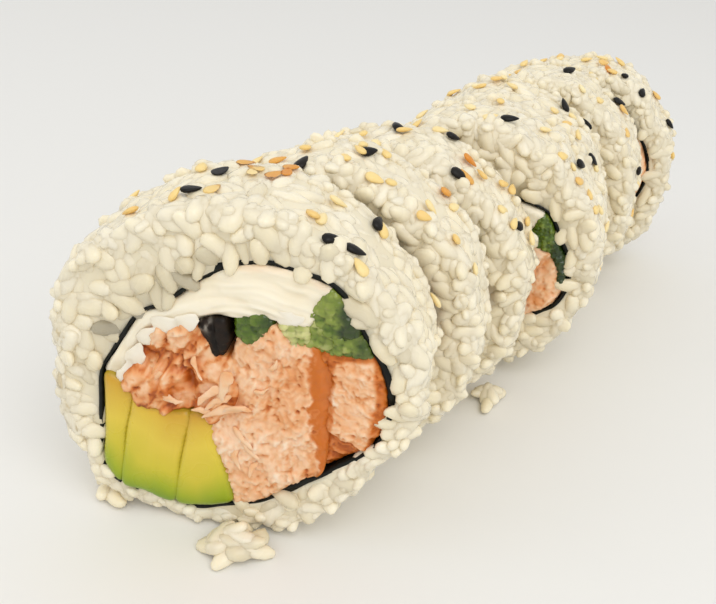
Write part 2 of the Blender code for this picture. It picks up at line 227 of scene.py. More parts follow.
def edge_distance(points: np.ndarray, line: np.ndarray) -> np.ndarray:
    """Distance from each point to the nearest side of a closed outline."""
    a = line[None]
    b = np.roll(line, -1, axis=0)[None]
    p = points[:, None]
    side = b - a
    t = np.clip(np.sum((p - a) * side, -1) / np.maximum(1e-9, np.sum(side * side, -1)), 0, 1)
    return np.linalg.norm(p - a - side * t[..., None], axis=-1).min(1)


def inside(points: np.ndarray, line: np.ndarray) -> np.ndarray:
    """Which points lie inside a closed outline, by counting the sides a ray crosses."""
    x, y = points[:, 0:1], points[:, 1:2]
    x0, y0 = line[None, :, 0], line[None, :, 1]
    x1, y1 = np.roll(x0, -1, 1), np.roll(y0, -1, 1)
    straddles = (y0 > y) != (y1 > y)
    cross = (x1 - x0) * (y - y0) / np.where(y1 == y0, 1e-9, y1 - y0) + x0
    return (straddles & (x < cross)).sum(1) % 2 == 1


def outward(points: np.ndarray, faces: list[np.ndarray]) -> list[np.ndarray]:
    """Turn a closed surface's faces round if its volume comes out negative."""
    volume = 0.0
    for group in faces:
        for k in range(1, group.shape[1] - 1):
            a, b, c = points[group[:, 0]], points[group[:, k]], points[group[:, k + 1]]
            volume += float(np.sum(a * np.cross(b, c)))
    return faces if volume > 0 else [group[:, ::-1] for group in faces]


def loop_grid(rows: int, columns: int, shut_rows: bool) -> np.ndarray:
    """Quads of a grid of `rows` rings of `columns` points each.

    Args:
        rows: number of rings.
        columns: points in a ring; a ring is always closed.
        shut_rows: join the last ring to the first.
    Returns:
        (n, 4) point numbers.
    """
    r = np.arange(rows if shut_rows else rows - 1)[:, None]
    c = np.arange(columns)[None]
    nr, nc = (r + 1) % rows, (c + 1) % columns
    quads = np.stack([r * columns + c, r * columns + nc, nr * columns + nc, nr * columns + c], -1)
    return quads.reshape(-1, 4)


def ball(columns: int, rows: int) -> tuple[np.ndarray, list[np.ndarray]]:
    """A unit ball of rings round the X axis, closed by a pole at each end.

    Args:
        columns: points in a ring.
        rows: rings between the poles.
    Returns:
        Its points and its faces, quads first, then the triangles at the poles.
    """
    polar = np.pi * (np.arange(rows) + 1.0) / (rows + 1.0)
    turn = 2.0 * np.pi * np.arange(columns) / columns
    x = np.repeat(np.cos(polar), columns)
    ring = np.repeat(np.sin(polar), columns)
    turn = np.tile(turn, rows)
    points = np.stack([x, ring * np.cos(turn), ring * np.sin(turn)], 1)
    points = np.vstack([points, [[1.0, 0, 0], [-1.0, 0, 0]]])
    c = np.arange(columns)
    nc = (c + 1) % columns
    last = (rows - 1) * columns
    tris = np.vstack([np.stack([np.full(columns, rows * columns), nc, c], 1),
                      np.stack([np.full(columns, rows * columns + 1), last + c, last + nc], 1)])
    quads = loop_grid(rows, columns, False)
    return points, outward(points, [quads]) + outward(points, [tris])


# ------------------------------------------------------------------ finishes
@dataclass(frozen=True)
class FoodFinish:
    """A moist food's surface: colour by the piece's own tone, soft uneven gloss, faint bump."""

    name: str
    shades: tuple[tuple[float, str], ...]
    accent: str
    mottle_mm: float
    mottle: float
    rough_low: float
    rough_high: float
    bump_mm: float
    bump: float
    bump_depth_mm: float = 0.12
    subsurface: float = 0.15
    subsurface_mm: float = 2.0
    subsurface_radius: tuple[float, float, float] = (1.0, 0.7, 0.45)
    coat: float = 0.0
    specular: float = 0.5

    def build(self) -> bpy.types.Material:
        """Make the material: the tone attribute and a slow mottle pick a shade from a ramp, the
        accent attribute mixes in the second colour, and slow noise varies the gloss.

        Returns:
            The material.
        """
        mat = bpy.data.materials.new(self.name)
        mat.use_nodes = True
        tree = mat.node_tree
        tree.nodes.clear()
        out = node(tree, "ShaderNodeOutputMaterial")
        shader = node(tree, "ShaderNodeBsdfPrincipled", {
            "Subsurface Weight": self.subsurface,
            "Subsurface Radius": self.subsurface_radius,
            "Subsurface Scale": self.subsurface_mm * MM,
            "Coat Weight": self.coat,
            "Coat Roughness": 0.18,
            "IOR": 1.42,
            "Specular IOR Level": self.specular,
        })
        place = node(tree, "ShaderNodeTexCoord")
        tone = node(tree, "ShaderNodeAttribute", attribute_name="tone")
        accent = node(tree, "ShaderNodeAttribute", attribute_name="accent")
        mottle = node(tree, "ShaderNodeTexNoise", {
            "Vector": place.outputs["Object"], "Scale": 1000.0 / self.mottle_mm, "Detail": 2.0})
        spread = node(tree, "ShaderNodeMath", {0: mottle.outputs["Fac"], 1: 0.5}, operation="SUBTRACT")
        shade = node(tree, "ShaderNodeMath", {
            0: spread.outputs[0], 1: self.mottle, 2: tone.outputs["Fac"]}, operation="MULTIPLY_ADD")
        ramp = node(tree, "ShaderNodeValToRGB", {0: shade.outputs[0]})
        stops = ramp.color_ramp.elements
        stops[0].position, stops[0].color = self.shades[0][0], linear(self.shades[0][1])
        stops[1].position, stops[1].color = self.shades[-1][0], linear(self.shades[-1][1])
        for position, colour in self.shades[1:-1]:
            stops.new(position).color = linear(colour)
        mix = node(tree, "ShaderNodeMix", {
            0: accent.outputs["Fac"], 6: ramp.outputs["Color"], 7: linear(self.accent)}, data_type="RGBA")
        gloss = node(tree, "ShaderNodeTexNoise", {
            "Vector": place.outputs["Object"], "Scale": 1000.0 / (self.mottle_mm * 0.8), "Detail": 1.0})
        rough = node(tree, "ShaderNodeMapRange", {
            0: gloss.outputs["Fac"], 1: 0.3, 2: 0.7, 3: self.rough_low, 4: self.rough_high})
        grain = node(tree, "ShaderNodeTexNoise", {
            "Vector": place.outputs["Object"], "Scale": 1000.0 / self.bump_mm, "Detail": 2.0})
        bump = node(tree, "ShaderNodeBump", {
            "Strength": self.bump, "Distance": self.bump_depth_mm * MM, "Height": grain.outputs["Fac"]})
        tree.links.new(mix.outputs[2], shader.inputs["Base Color"])
        tree.links.new(rough.outputs[0], shader.inputs["Roughness"])
        tree.links.new(bump.outputs[0], shader.inputs["Normal"])
        tree.links.new(shader.outputs[0], out.inputs[0])
        return mat


def node(tree: bpy.types.NodeTree, kind: str, inputs: dict | None = None,
         **settings: object) -> bpy.types.Node:
    """Add one node, with its settings, its values and its links.

    Args:
        tree: the material's nodes.
        kind: the node's type.
        inputs: socket name or number to a value, or to another node's output to link from.
        settings: the node's own settings.
    Returns:
        The new node.
    """
    made = tree.nodes.new(kind)
    for key, value in settings.items():
        setattr(made, key, value)
    for key, value in (inputs or {}).items():
        if isinstance(value, bpy.types.NodeSocket):
            tree.links.new(value, made.inputs[key])
        else:
            made.inputs[key].default_value = value
    return made


# Cooked short-grain rice dressed with vinegar: translucent starch with a sticky, moist skin.
# The dark low end of this ramp is painted shade, used for the grains by the nori.
COOKED_RICE = FoodFinish(
    "cooked_short_grain_rice",
    ((0.0, "aba28c"), (0.25, "d8ccae"), (0.5, "f0e3c3"), (0.75, "f6ebcf"), (1.0, "fbf3dd")),
    "efd9a4", mottle_mm=3.0, mottle=0.14, rough_low=0.2, rough_high=0.36, bump_mm=0.9, bump=0.12,
    bump_depth_mm=0.06, subsurface=0.2, subsurface_mm=2.6, subsurface_radius=(1.0, 0.88, 0.66))
# The same rice pressed together between the grains that stand out: a bright, sticky paste.
PRESSED_RICE = FoodFinish(
    "pressed_rice_paste", ((0.0, "e6dabb"), (1.0, "f3e9cf")), "c9bda0",
    mottle_mm=4.0, mottle=0.3, rough_low=0.35, rough_high=0.5, bump_mm=1.2, bump=0.25,
    subsurface=0.2, subsurface_mm=2.6, subsurface_radius=(1.0, 0.88, 0.66))
# Roasted seaweed sheet: almost black, with a dull sheen where the moisture has softened it.
ROASTED_NORI = FoodFinish(
    "roasted_nori_sheet", ((0.0, "060706"), (1.0, "151a12")), "2a2f24",
    mottle_mm=2.0, mottle=0.5, rough_low=0.35, rough_high=0.55, bump_mm=0.5, bump=0.4,
    subsurface=0.0, specular=0.3)
# Cream cheese: dense white dairy, dragged into streaks by the knife, stained at the fish.
CREAM_CHEESE = FoodFinish(
    "cream_cheese", ((0.0, "e2cba6"), (0.4, "f2e5c8"), (0.75, "f8eed7"), (1.0, "fcf5e4")), "efc39c",
    mottle_mm=5.0, mottle=0.12, rough_low=0.3, rough_high=0.45, bump_mm=1.5, bump=0.12,
    bump_depth_mm=0.08, subsurface=0.2, subsurface_mm=2.4, subsurface_radius=(1.0, 0.88, 0.66))
# Baked salmon: pale peach fibres, an amber crust, and cracks painted a darker orange as painted shade.
BAKED_SALMON = FoodFinish(
    "baked_salmon_flakes",
    ((0.0, "9c4816"), (0.16, "cf7532"), (0.36, "e59f66"), (0.58, "efbb8e"), (0.8, "f4cda9"), (1.0, "fae6cf")),
    "c66602", mottle_mm=2.2, mottle=0.16, rough_low=0.28, rough_high=0.5, bump_mm=0.45, bump=0.25,
    bump_depth_mm=0.08, subsurface=0.2, subsurface_mm=1.8, subsurface_radius=(1.0, 0.6, 0.4))
# Ripe avocado: buttery flesh, green under the skin and yellow towards the stone.
RIPE_AVOCADO = FoodFinish(
    "ripe_avocado_flesh",
    ((0.0, "76960f"), (0.14, "a0ad1a"), (0.34, "cdbf33"), (0.62, "dfc544"),
     (0.85, "d8b43a"), (1.0, "c99a2c")),
    # The accent, a darker olive, is used as a painted shade line along the pieces' edges.
    "8c8a18", mottle_mm=6.0, mottle=0.06, rough_low=0.24, rough_high=0.38, bump_mm=2.0, bump=0.08,
    bump_depth_mm=0.08, subsurface=0.18, subsurface_mm=2.0, subsurface_radius=(1.0, 0.9, 0.3), coat=0.1)
# Fresh cucumber: wet, glassy flesh that is light inside and dark green at the skin.
WET_CUCUMBER = FoodFinish(
    "wet_cucumber_dice", ((0.0, "263d0b"), (0.35, "536b18"), (0.65, "87953e"), (1.0, "cfcc8a")), "1d3210",
    mottle_mm=1.6, mottle=0.25, rough_low=0.12, rough_high=0.28, bump_mm=0.8, bump=0.25,
    subsurface=0.15, subsurface_mm=1.5, subsurface_radius=(0.7, 1.0, 0.35), coat=0.25)
# Black olive or mushroom curl: dark brown flesh with an oily skin.
DARK_CURL = FoodFinish(
    "dark_olive_curl", ((0.0, "0f0904"), (0.6, "22160c"), (1.0, "43301f")), "e6dccb",
    mottle_mm=1.2, mottle=0.4, rough_low=0.4, rough_high=0.6, bump_mm=0.4, bump=0.35, subsurface=0.0,
    specular=0.3)
# Black sesame: a matt ribbed hull.
BLACK_SESAME = FoodFinish(
    "black_sesame_hull", ((0.0, "080705"), (1.0, "1a1612")), "3a332b",
    mottle_mm=0.8, mottle=0.4, rough_low=0.35, rough_high=0.5, bump_mm=0.35, bump=0.3, subsurface=0.0,
    specular=0.35)
# White sesame: a cream hull, golden to toasted brown where the pan has caught it.
WHITE_SESAME = FoodFinish(
    "white_sesame_hull", ((0.0, "d98a32"), (0.35, "e8b25c"), (0.7, "f3d48c"), (1.0, "f9e7b6")), "b5662a",
    mottle_mm=1.2, mottle=0.2, rough_low=0.35, rough_high=0.5, bump_mm=0.4, bump=0.2, subsurface=0.1)


class Finish(Enum):
    """The finishes, by the food they belong to."""

    RICE = COOKED_RICE
    PASTE = PRESSED_RICE
    NORI = ROASTED_NORI
    CHEESE = CREAM_CHEESE
    SALMON = BAKED_SALMON
    AVOCADO = RIPE_AVOCADO
    CUCUMBER = WET_CUCUMBER
    OLIVE = DARK_CURL
    BLACK_SEED = BLACK_SESAME
    WHITE_SEED = WHITE_SESAME


MADE: dict[Finish, bpy.types.Material] = {}


def material(finish: Finish) -> bpy.types.Material:
    """The finish's material, made the first time that it is asked for."""
    if finish not in MADE:
        MADE[finish] = finish.value.build()
    return MADE[finish]


@dataclass
class Skin:
    """A surface under construction: points in millimetres, faces, and each point's tones."""

    points: np.ndarray
    faces: list[np.ndarray]
    tone: np.ndarray
    accent: np.ndarray | None = None

    def into(self, name: str, finish: Finish, slot: str | None,
             stands_for: Sequence[str] = ()) -> bpy.types.Object:
        """Make the object, ride it on the root body and hide the CAD parts that it stands for.

        Args:
            name: the object's name.
            finish: its finish.
            slot: the record's material slot, or None where no slot is like the finish; not used.
            stands_for: CAD nodes that it replaces.
        Returns:
            The object.
        """
        low, high = (np.array(corner) / MM for corner in CAD_BOX)
        points = np.clip(self.points + ROW_SHIFT, low + 0.01, high - 0.01)
        mesh = bpy.data.meshes.new(name)
        corners = np.concatenate([group.ravel() for group in self.faces]).astype(np.int32)
        totals = np.concatenate([np.full(len(group), group.shape[1]) for group in self.faces])
        starts = np.concatenate([[0], np.cumsum(totals)[:-1]]).astype(np.int32)
        mesh.vertices.add(len(points))
        mesh.vertices.foreach_set("co", (points * MM).astype(np.float32).ravel())
        mesh.loops.add(len(corners))
        mesh.loops.foreach_set("vertex_index", corners)
        mesh.polygons.add(len(totals))
        mesh.polygons.foreach_set("loop_start", starts)
        mesh.polygons.foreach_set("use_smooth", np.ones(len(totals), dtype=bool))
        mesh.update(calc_edges=True)
        accent = np.zeros(len(points)) if self.accent is None else self.accent
        for label, values in (("tone", self.tone), ("accent", accent)):
            layer = mesh.attributes.new(label, "FLOAT", "POINT")
            layer.data.foreach_set("value", np.clip(values, 0.0, 1.0).astype(np.float32))
        mesh.materials.append(material(finish))
        made = bpy.data.objects.new(name, mesh)
        bpy.context.scene.collection.objects.link(made)
        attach(made, "root")
        if stands_for:
            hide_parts(*stands_for)
        log.info("%s: %d points, %d faces", name, len(points), len(totals))
        return made


def joined(skins: Sequence[Skin]) -> Skin:
    """Several surfaces as one."""
    start = 0
    faces: list[np.ndarray] = []
    for skin in skins:
        faces += [group + start for group in skin.faces]
        start += len(skin.points)
    accents = [np.zeros(len(s.points)) if s.accent is None else s.accent for s in skins]
    return Skin(np.vstack([s.points for s in skins]), faces,
                np.concatenate([s.tone for s in skins]), np.concatenate(accents))


# ------------------------------------------------------------------ the slices' shapes
# The line round the fillings of the first slice, (right, up) from the slice's middle.
FILLING_LINE = np.array([
    (-20, -11.5), (-19.5, -4.5), (-19, -0.5), (-17, 3), (-15, 6.5), (-13, 9.5), (-9.5, 11.5),
    (-6, 14.5), (-3, 17), (0.5, 19), (5, 19.8), (9, 19.2), (13.5, 17.8), (16, 15), (17.5, 11.5),
    (19.5, 8.5), (21.2, 5), (22, 1), (21.5, -3.5), (19.5, -8), (17, -10), (13, -13),
    (9.5, -15.5), (6, -18.5), (3, -20.5), (-0.5, -21.3), (-5, -23), (-9.5, -22.7),
    (-14.5, -21.7), (-18, -20.5), (-20.5, -17.5)])
# Radius of the first slice's rice every 15 degrees, from the right and anticlockwise.
FIRST_RADII = np.array([27.5, 28.2, 28.2, 27.2, 27.8, 28.3, 28.2, 28.1, 28.2, 28.6, 29.0, 28.3,
                        28.0, 28.6, 30.0, 30.8, 29.8, 28.2, 27.4, 27.6, 26.2, 25.0, 25.0, 26.4])


@dataclass
class SlicePlan:
    """Where one slice stands, how big it is and how its filling is turned."""

    index: int
    x: float
    y: float
    turn: float
    ru: float
    rv: float
    thick: float
    fill: float = 1.0
    roll: float = 0.0
    flip: bool = False
    dent: tuple[float, float, float] = (0.0, 0.0, 30.0)
    shift: tuple[float, float] = (0.0, 0.0)

    def __post_init__(self) -> None:
        """Work out the slice's own directions and the hole for its nori."""
        a = math.radians(self.turn)
        self.right = np.array([math.cos(a), math.sin(a), 0.0])
        self.back = np.array([-math.sin(a), math.cos(a), 0.0])
        self.middle = np.array([self.x, self.y, self.rv])
        self.half = self.thick / 2.0
        line = anticlockwise(self.turned_filling(FILLING_LINE))
        hole = moved_out(even(curve_through(line), 0.8), NORI_GAP + NORI_THICK + RICE_GAP)
        angle = np.arctan2(hole[:, 1], hole[:, 0]) % (2 * np.pi)
        order = np.argsort(angle)
        self._hole = (angle[order], np.hypot(hole[:, 0], hole[:, 1])[order])

    def turned_filling(self, points: np.ndarray) -> np.ndarray:
        """Points of the first slice's filling, sized, mirrored and turned for this slice."""
        points = np.asarray(points, float)
        if self.index == 1:
            return points
        moved = (points - np.array([0.5, -1.5])) * self.fill
        if self.flip:
            moved = moved * np.array([-1.0, 1.0])
        return turned(moved, -self.roll) + np.array(self.shift)

    def place(self, u: np.ndarray, v: np.ndarray, w: np.ndarray) -> np.ndarray:
        """Points of the slice's own right, up and back in the row."""
        up = np.array([0.0, 0.0, 1.0])
        return (self.middle + np.asarray(u)[..., None] * self.right + np.asarray(v)[..., None] * up
                + np.asarray(w)[..., None] * self.back)

    def hole(self, angle: np.ndarray) -> np.ndarray:
        """Radius of the hole in the rice at each angle."""
        return np.interp(angle, *self._hole, period=2 * np.pi)

    def edge(self, angle: np.ndarray) -> np.ndarray:
        """Radius of the rice's outer side: an ellipse with a flattened place, or the first
        slice's own radii eased between, plus two slow waves for its lumps."""
        degrees = np.degrees(angle) % 360.0
        if self.index == 1:
            a = degrees / 15.0
            i = np.floor(a).astype(int) % 24
            f = smooth(a - np.floor(a), 0.0, 1.0)
            base = FIRST_RADII[i] * (1 - f) + FIRST_RADII[(i + 1) % 24] * f
        else:
            base = 1.0 / np.sqrt((np.cos(angle) / self.ru) ** 2 + (np.sin(angle) / self.rv) ** 2)
            where, deep, wide = self.dent
            off = (degrees - where + 180.0) % 360.0 - 180.0
            base = base - deep * np.exp(-(off / wide) ** 2)
        k = self.index * 1.7
        base = base + LUMP * (0.6 * np.sin(7 * angle + k) + 0.4 * np.sin(12 * angle + 2.3 * k))
        return np.maximum(base, self.hole(angle) + RING_LEAST)

    def outline(self, angle: np.ndarray, inset: float | np.ndarray) -> tuple[np.ndarray, np.ndarray]:
        """The rice's outer outline drawn in by `inset`, flat where it stands.

        Args:
            angle: angles from the slice's right, anticlockwise.
            inset: how far inside the outer side.
        Returns:
            (n, 2) points and (n, 2) outward directions.
        """
        fine = np.linspace(0, 2 * np.pi, 721)[:-1]
        r = self.edge(fine)
        line = np.stack([r * np.cos(fine), np.maximum(r * np.sin(fine), -self.rv)], 1)
        along = unit(np.roll(line, -3, axis=0) - np.roll(line, 3, axis=0))
        normal = np.stack([along[:, 1], -along[:, 0]], 1)
        here = np.stack([np.interp(angle, fine, line[:, k], period=2 * np.pi) for k in (0, 1)], 1)
        out = unit(np.stack([np.interp(angle, fine, normal[:, k], period=2 * np.pi) for k in (0, 1)], 1))
        return here - out * np.asarray(inset).reshape(-1, 1), out


SLICES = [
    SlicePlan(1, 0.0, 0.0, 25.5, 27.8, 27.2, 18.5),
    SlicePlan(2, -1.1, 21.6, 21.5, 26.5, 26.8, 15.5, 0.84, 14.0, False, (140.0, 1.2, 30.0)),
    SlicePlan(3, -2.1, 40.6, 19.0, 26.8, 25.6, 15.5, 0.84, -12.0, False, (140.0, 1.5, 30.0)),
    SlicePlan(4, 1.8, 61.5, 17.5, 27.6, 26.2, 16.5, 0.68, 0.0, False, (135.0, 4.5, 28.0), (7.2, -3.0)),
    SlicePlan(5, -2.6, 80.1, 16.0, 24.8, 25.6, 17.0, 0.80, 20.0, True, (135.0, 3.0, 28.0)),
    SlicePlan(6, -1.4, 100.0, 15.5, 23.8, 25.4, 17.0, 0.72, -25.0, False, (140.0, 0.5, 30.0), (-1.5, 0.0)),
    SlicePlan(7, 0.4, 119.9, 16.5, 22.9, 24.6, 17.0, 0.80, 8.0, False, (150.0, 0.5, 30.0)),
]


# ------------------------------------------------------------------ rice
@dataclass
class GrainShape:
    """A cooked grain: a blunt ellipsoid, a little bent and thicker at one end."""

    length: float = 5.9
    width: float = 3.0
    depth: float = 2.3
    columns: int = 8
    rows: int = 5
    spread: float = 0.09

    def lay(self, centre: np.ndarray, normal: np.ndarray, heading: np.ndarray, tilt: np.ndarray,
            tone: np.ndarray, rng: np.random.Generator) -> Skin:
        """Lay grains at the given places, as one surface.

        Args:
            centre: (n, 3) middles.
            normal: (n, 3) outward directions of what they lie on.
            heading: (n,) direction of the long axis in the surface, radians.
            tilt: (n,) how far the long axis leans out of the surface, radians.
            tone: (n,) each grain's tone.
            rng: for the spread of sizes.
        Returns:
            All the grains.
        """
        n = len(centre)
        ball_points, faces = ball(self.columns, self.rows)
        x, y, z = ball_points.T
        blunt = np.maximum(1e-6, y * y + z * z) ** -0.08
        normal = unit(normal)
        guide = np.where(np.abs(normal[:, 2:3]) < 0.9, np.array([[0, 0, 1.0]]), np.array([[1.0, 0, 0]]))
        t1 = unit(np.cross(guide, normal))
        t2 = np.cross(normal, t1)
        along = t1 * np.cos(heading)[:, None] + t2 * np.sin(heading)[:, None]
        long_axis = along * np.cos(tilt)[:, None] + normal * np.sin(tilt)[:, None]
        depth_axis = normal * np.cos(tilt)[:, None] - along * np.sin(tilt)[:, None]
        side_axis = np.cross(depth_axis, long_axis)
        size = 1.0 + self.spread * rng.standard_normal((3, n)).clip(-1.8, 1.8)
        length, width, depth = (0.5 * s * k for s, k in zip((self.length, self.width, self.depth), size))
        bend = rng.uniform(-0.22, 0.22, n)
        taper = rng.uniform(-0.14, 0.14, n)
        swell = (1.0 + taper[:, None] * x[None])
        sideways = (width[:, None] * y[None] * blunt * swell
                    + bend[:, None] * length[:, None] * (x * x)[None] * 0.5)
        deep = depth[:, None] * z[None] * blunt * swell
        points = (centre[:, None] + (length[:, None] * x[None])[..., None] * long_axis[:, None]
                  + sideways[..., None] * side_axis[:, None] + deep[..., None] * depth_axis[:, None])
        count = len(ball_points)
        points = points.reshape(-1, 3)
        wobble = np.stack([noise(points, (1.5, 1.5, 1.5), 90 + k) for k in range(3)], 1)
        points = points + 0.2 * wobble
        step = (np.arange(n) * count)[:, None, None]
        groups = [(group[None] + step).reshape(-1, group.shape[1]) for group in faces]
        return Skin(points, groups, np.repeat(tone, count))


@dataclass
class RiceRing:
    """One slice's ring of rice: a core of pressed paste and the grains that stand out of it."""

    plan: SlicePlan
    grain: GrainShape = field(default_factory=GrainShape)
    side_step: float = 2.55
    face_step: float = 2.5
    grain_depth: float = 1.2
    core_depth: float = 0.64
    corner: float = RICE_CORNER

    def core(self) -> Skin:
        """The core: the ring's cross-section, a rectangle with round outer corners, carried
        round the slice and roughened by slow noise.

        Returns:
            A closed surface.
        """
        plan = self.plan
        angle = np.linspace(0, 2 * np.pi, 161)[:-1]
        h = plan.half - self.core_depth
        bend = np.radians(np.linspace(0, 90, 4))
        near, far = CORE_ROUND * (1 - np.sin(bend)), CORE_ROUND * (1 - np.cos(bend))
        side = (-h + CORE_ROUND) + 2 * (h - CORE_ROUND) * np.linspace(0.2, 0.8, 4)
        # A negative inset marks the ring's inner side, which follows the hole.
        inset = np.concatenate([np.full(4, -1.0), CORE_STEPS, near, np.zeros(4), far[1:], CORE_STEPS[::-1]])
        across = np.concatenate([h * np.array([1.0, 0.33, -0.33, -1.0]), [-h, -h], -h + far, side,
                                 h - near[1:], [h, h]])
        rings = []
        for step, back in zip(inset, across):
            if step < 0:
                r = plan.hole(angle) - 0.1
                uv = np.stack([r * np.cos(angle), r * np.sin(angle)], 1)
            else:
                uv, _ = plan.outline(angle, self.core_depth + step)
                r = np.hypot(uv[:, 0], uv[:, 1])
                least = (plan.hole(angle) + 0.5) / np.maximum(r, 1e-6)
                uv = uv * np.maximum(1.0, least)[:, None]
            rings.append(plan.place(uv[:, 0], uv[:, 1], np.full(len(angle), back)))
        points = np.vstack(rings)
        centre = plan.middle
        push = unit(points - centre)
        points = points + push * (0.3 * noise(points, (2.2, 2.2, 2.2), 40 + plan.index))[:, None]
        faces = outward(points - centre, [loop_grid(len(rings), len(angle), True)])
        tone = 0.5 + 0.3 * noise(points, (3.0, 3.0, 3.0), 60 + plan.index)
        return Skin(points, faces, tone)

    def side_places(self, rng: np.random.Generator) -> tuple[np.ndarray, ...]:
        """Places for grains round the outer side and over its two rounded corners.

        Args:
            rng: for the jitter.
        Returns:
            Middles and outward directions.
        """
        plan = self.plan
        h, c = plan.half, self.corner
        rows = [(c * (1 - math.cos(math.radians(b))), -h + c * (1 - math.sin(math.radians(b))), -b)
                for b in (66, 30)]
        flat = int(round((2 * h - 2 * c) / self.side_step)) + 1
        rows += [(0.0, w, 0.0) for w in np.linspace(-h + c, h - c, flat)]
        rows += [(inset, -w, -b) for inset, w, b in rows[1::-1]]
        middles, outs = [], []
        perimeter = 2 * np.pi * (plan.ru + plan.rv) / 2
        for k, (inset, w, lean) in enumerate(rows):
            count = int(perimeter / (self.side_step * 1.08))
            angle = 2 * np.pi * (np.arange(count) + 0.5 * (k % 2) + rng.uniform(-0.33, 0.33, count)) / count
            sink = self.grain_depth + rng.uniform(-0.2, 0.4, count)
            uv, out = plan.outline(angle % (2 * np.pi), inset + sink * math.cos(math.radians(lean)))
            back = w + rng.uniform(-0.7, 0.7, count) * (1.0 if lean == 0 else 0.4)
            back = back - math.sin(math.radians(lean)) * sink
            middles.append(plan.place(uv[:, 0], uv[:, 1], back))
            sideways = math.sin(math.radians(lean))
            outs.append(out[:, 0:1] * plan.right * math.cos(math.radians(lean))
                        + out[:, 1:2] * np.array([0, 0, 1.0]) * math.cos(math.radians(lean))
                        + sideways * plan.back)
        return np.vstack(middles), np.vstack(outs)

    def face_places(self, front: bool, rng: np.random.Generator) -> tuple[np.ndarray, ...]:
        """Places for grains on one cut face: a jittered honeycomb between hole and outer side.

        Args:
            front: the face towards the row's start.
            rng: for the jitter.
        Returns:
            Middles, outward directions, and how much painted shade each one gets: most at the nori,
            and most of all at its upper left, a darker grey painted in for the dark sheet seen through the
            grain).
        """
        plan = self.plan
        step = self.face_step
        reach = 34.0
        rows = np.arange(-reach, reach, step * 0.87)
        columns = np.arange(-reach, reach, step)
        grid = np.array([(x + (0.5 * step if k % 2 else 0.0), y)
                         for k, y in enumerate(rows) for x in columns])
        grid = grid + rng.uniform(-0.3, 0.3, grid.shape) * step
        angle = np.arctan2(grid[:, 1], grid[:, 0])
        r = np.hypot(grid[:, 0], grid[:, 1])
        hole = plan.hole(angle)
        keep = ((r > hole + rng.uniform(-0.3, 0.9, len(grid))) & (r < plan.edge(angle) - 2.0)
                & (grid[:, 1] > -plan.rv + 2.2))
        grid, r, hole = grid[keep], r[keep], hole[keep]
        sink = self.grain_depth + rng.uniform(-0.5, 0.6, len(grid))
        sign = -1.0 if front else 1.0
        middles = plan.place(grid[:, 0], grid[:, 1], sign * (plan.half - sink))
        outs = np.repeat((sign * plan.back)[None], len(grid), axis=0)
        # Painted shade: grains by the nori are painted greyer, most of all at the upper left, for the dark
        # sheet seen through them.
        near = 1.0 - smooth(r - hole, 1.6, 5.0)
        upper_left = smooth(np.cos(angle[keep] - math.radians(138.0)), 0.55, 0.9)
        return middles, outs, near * (0.25 + 0.75 * upper_left)

    def grains(self) -> Skin:
        """All the grains of the ring.

        Returns:
            One surface of separate grains.
        """
        plan = self.plan
        rng = np.random.default_rng(100 + plan.index)
        sides = []
        middles, outs = self.side_places(rng)
        n = len(middles)
        tone = 0.66 + 0.08 * rng.standard_normal(n)
        sides.append(self.grain.lay(middles, outs, rng.uniform(0, np.pi, n), np.radians(rng.normal(0, 7, n)),
                                    tone, rng))
        for front in (True, False):
            middles, outs, near = self.face_places(front, rng)
            n = len(middles)
            # Painted shade: the grains by the nori get a darker tone.
            tone = 0.62 + 0.08 * rng.standard_normal(n) - near * rng.uniform(0.15, 0.8, n)
            tilt = np.radians(rng.normal(0, 20, n).clip(-45, 45))
            sides.append(self.grain.lay(middles, outs, rng.uniform(0, np.pi, n), tilt, tone, rng))
        made = joined(sides)
        made.points[:, 2] = np.maximum(made.points[:, 2], 0.02)
        return made

    def build(self) -> None:
        """Make the core and the grains."""
        self.core().into(f"rice_core_{self.plan.index}", Finish.PASTE, "rice", [f"rice_{self.plan.index}"])
        self.grains().into(f"rice_grains_{self.plan.index}", Finish.RICE, "rice")


@dataclass
class RiceClump:
    """A small heap of grains that came off on the board."""

    name: str
    x: float
    y: float
    half: tuple[float, float, float]
    turn: float
    count: int
    grain: GrainShape = field(default_factory=GrainShape)

    def build(self) -> None:
        """Lay the grains in a low dome, the lowest on the board."""
        rng = np.random.default_rng(7 + self.count)
        k = np.arange(self.count)
        ring = np.sqrt((k + 0.5) / self.count)
        spin = k * 2.39996
        hx, hy, hz = self.half
        u = (hx - 1.6) * ring * np.cos(spin)
        v = (hy - 1.4) * ring * np.sin(spin)
        z = 1.15 + (1.72 * hz - 2.4) * (1 - ring ** 2) * rng.uniform(0.6, 1.0, self.count)
        a = math.radians(self.turn)
        centre = np.stack([self.x + u * math.cos(a) - v * math.sin(a),
                           self.y + u * math.sin(a) + v * math.cos(a), z], 1)
        normal = np.stack([0.3 * (centre[:, 0] - self.x) / hx, 0.3 * (centre[:, 1] - self.y) / hy,
                           np.ones(self.count)], 1)
        skin = self.grain.lay(centre, normal, rng.uniform(0, np.pi, self.count),
                              np.radians(rng.normal(0, 12, self.count)),
                              0.55 + 0.12 * rng.standard_normal(self.count), rng)
        skin.points[:, 2] = np.maximum(skin.points[:, 2], 0.02)
        skin.into(f"{self.name}_grains", Finish.RICE, "rice", [self.name])


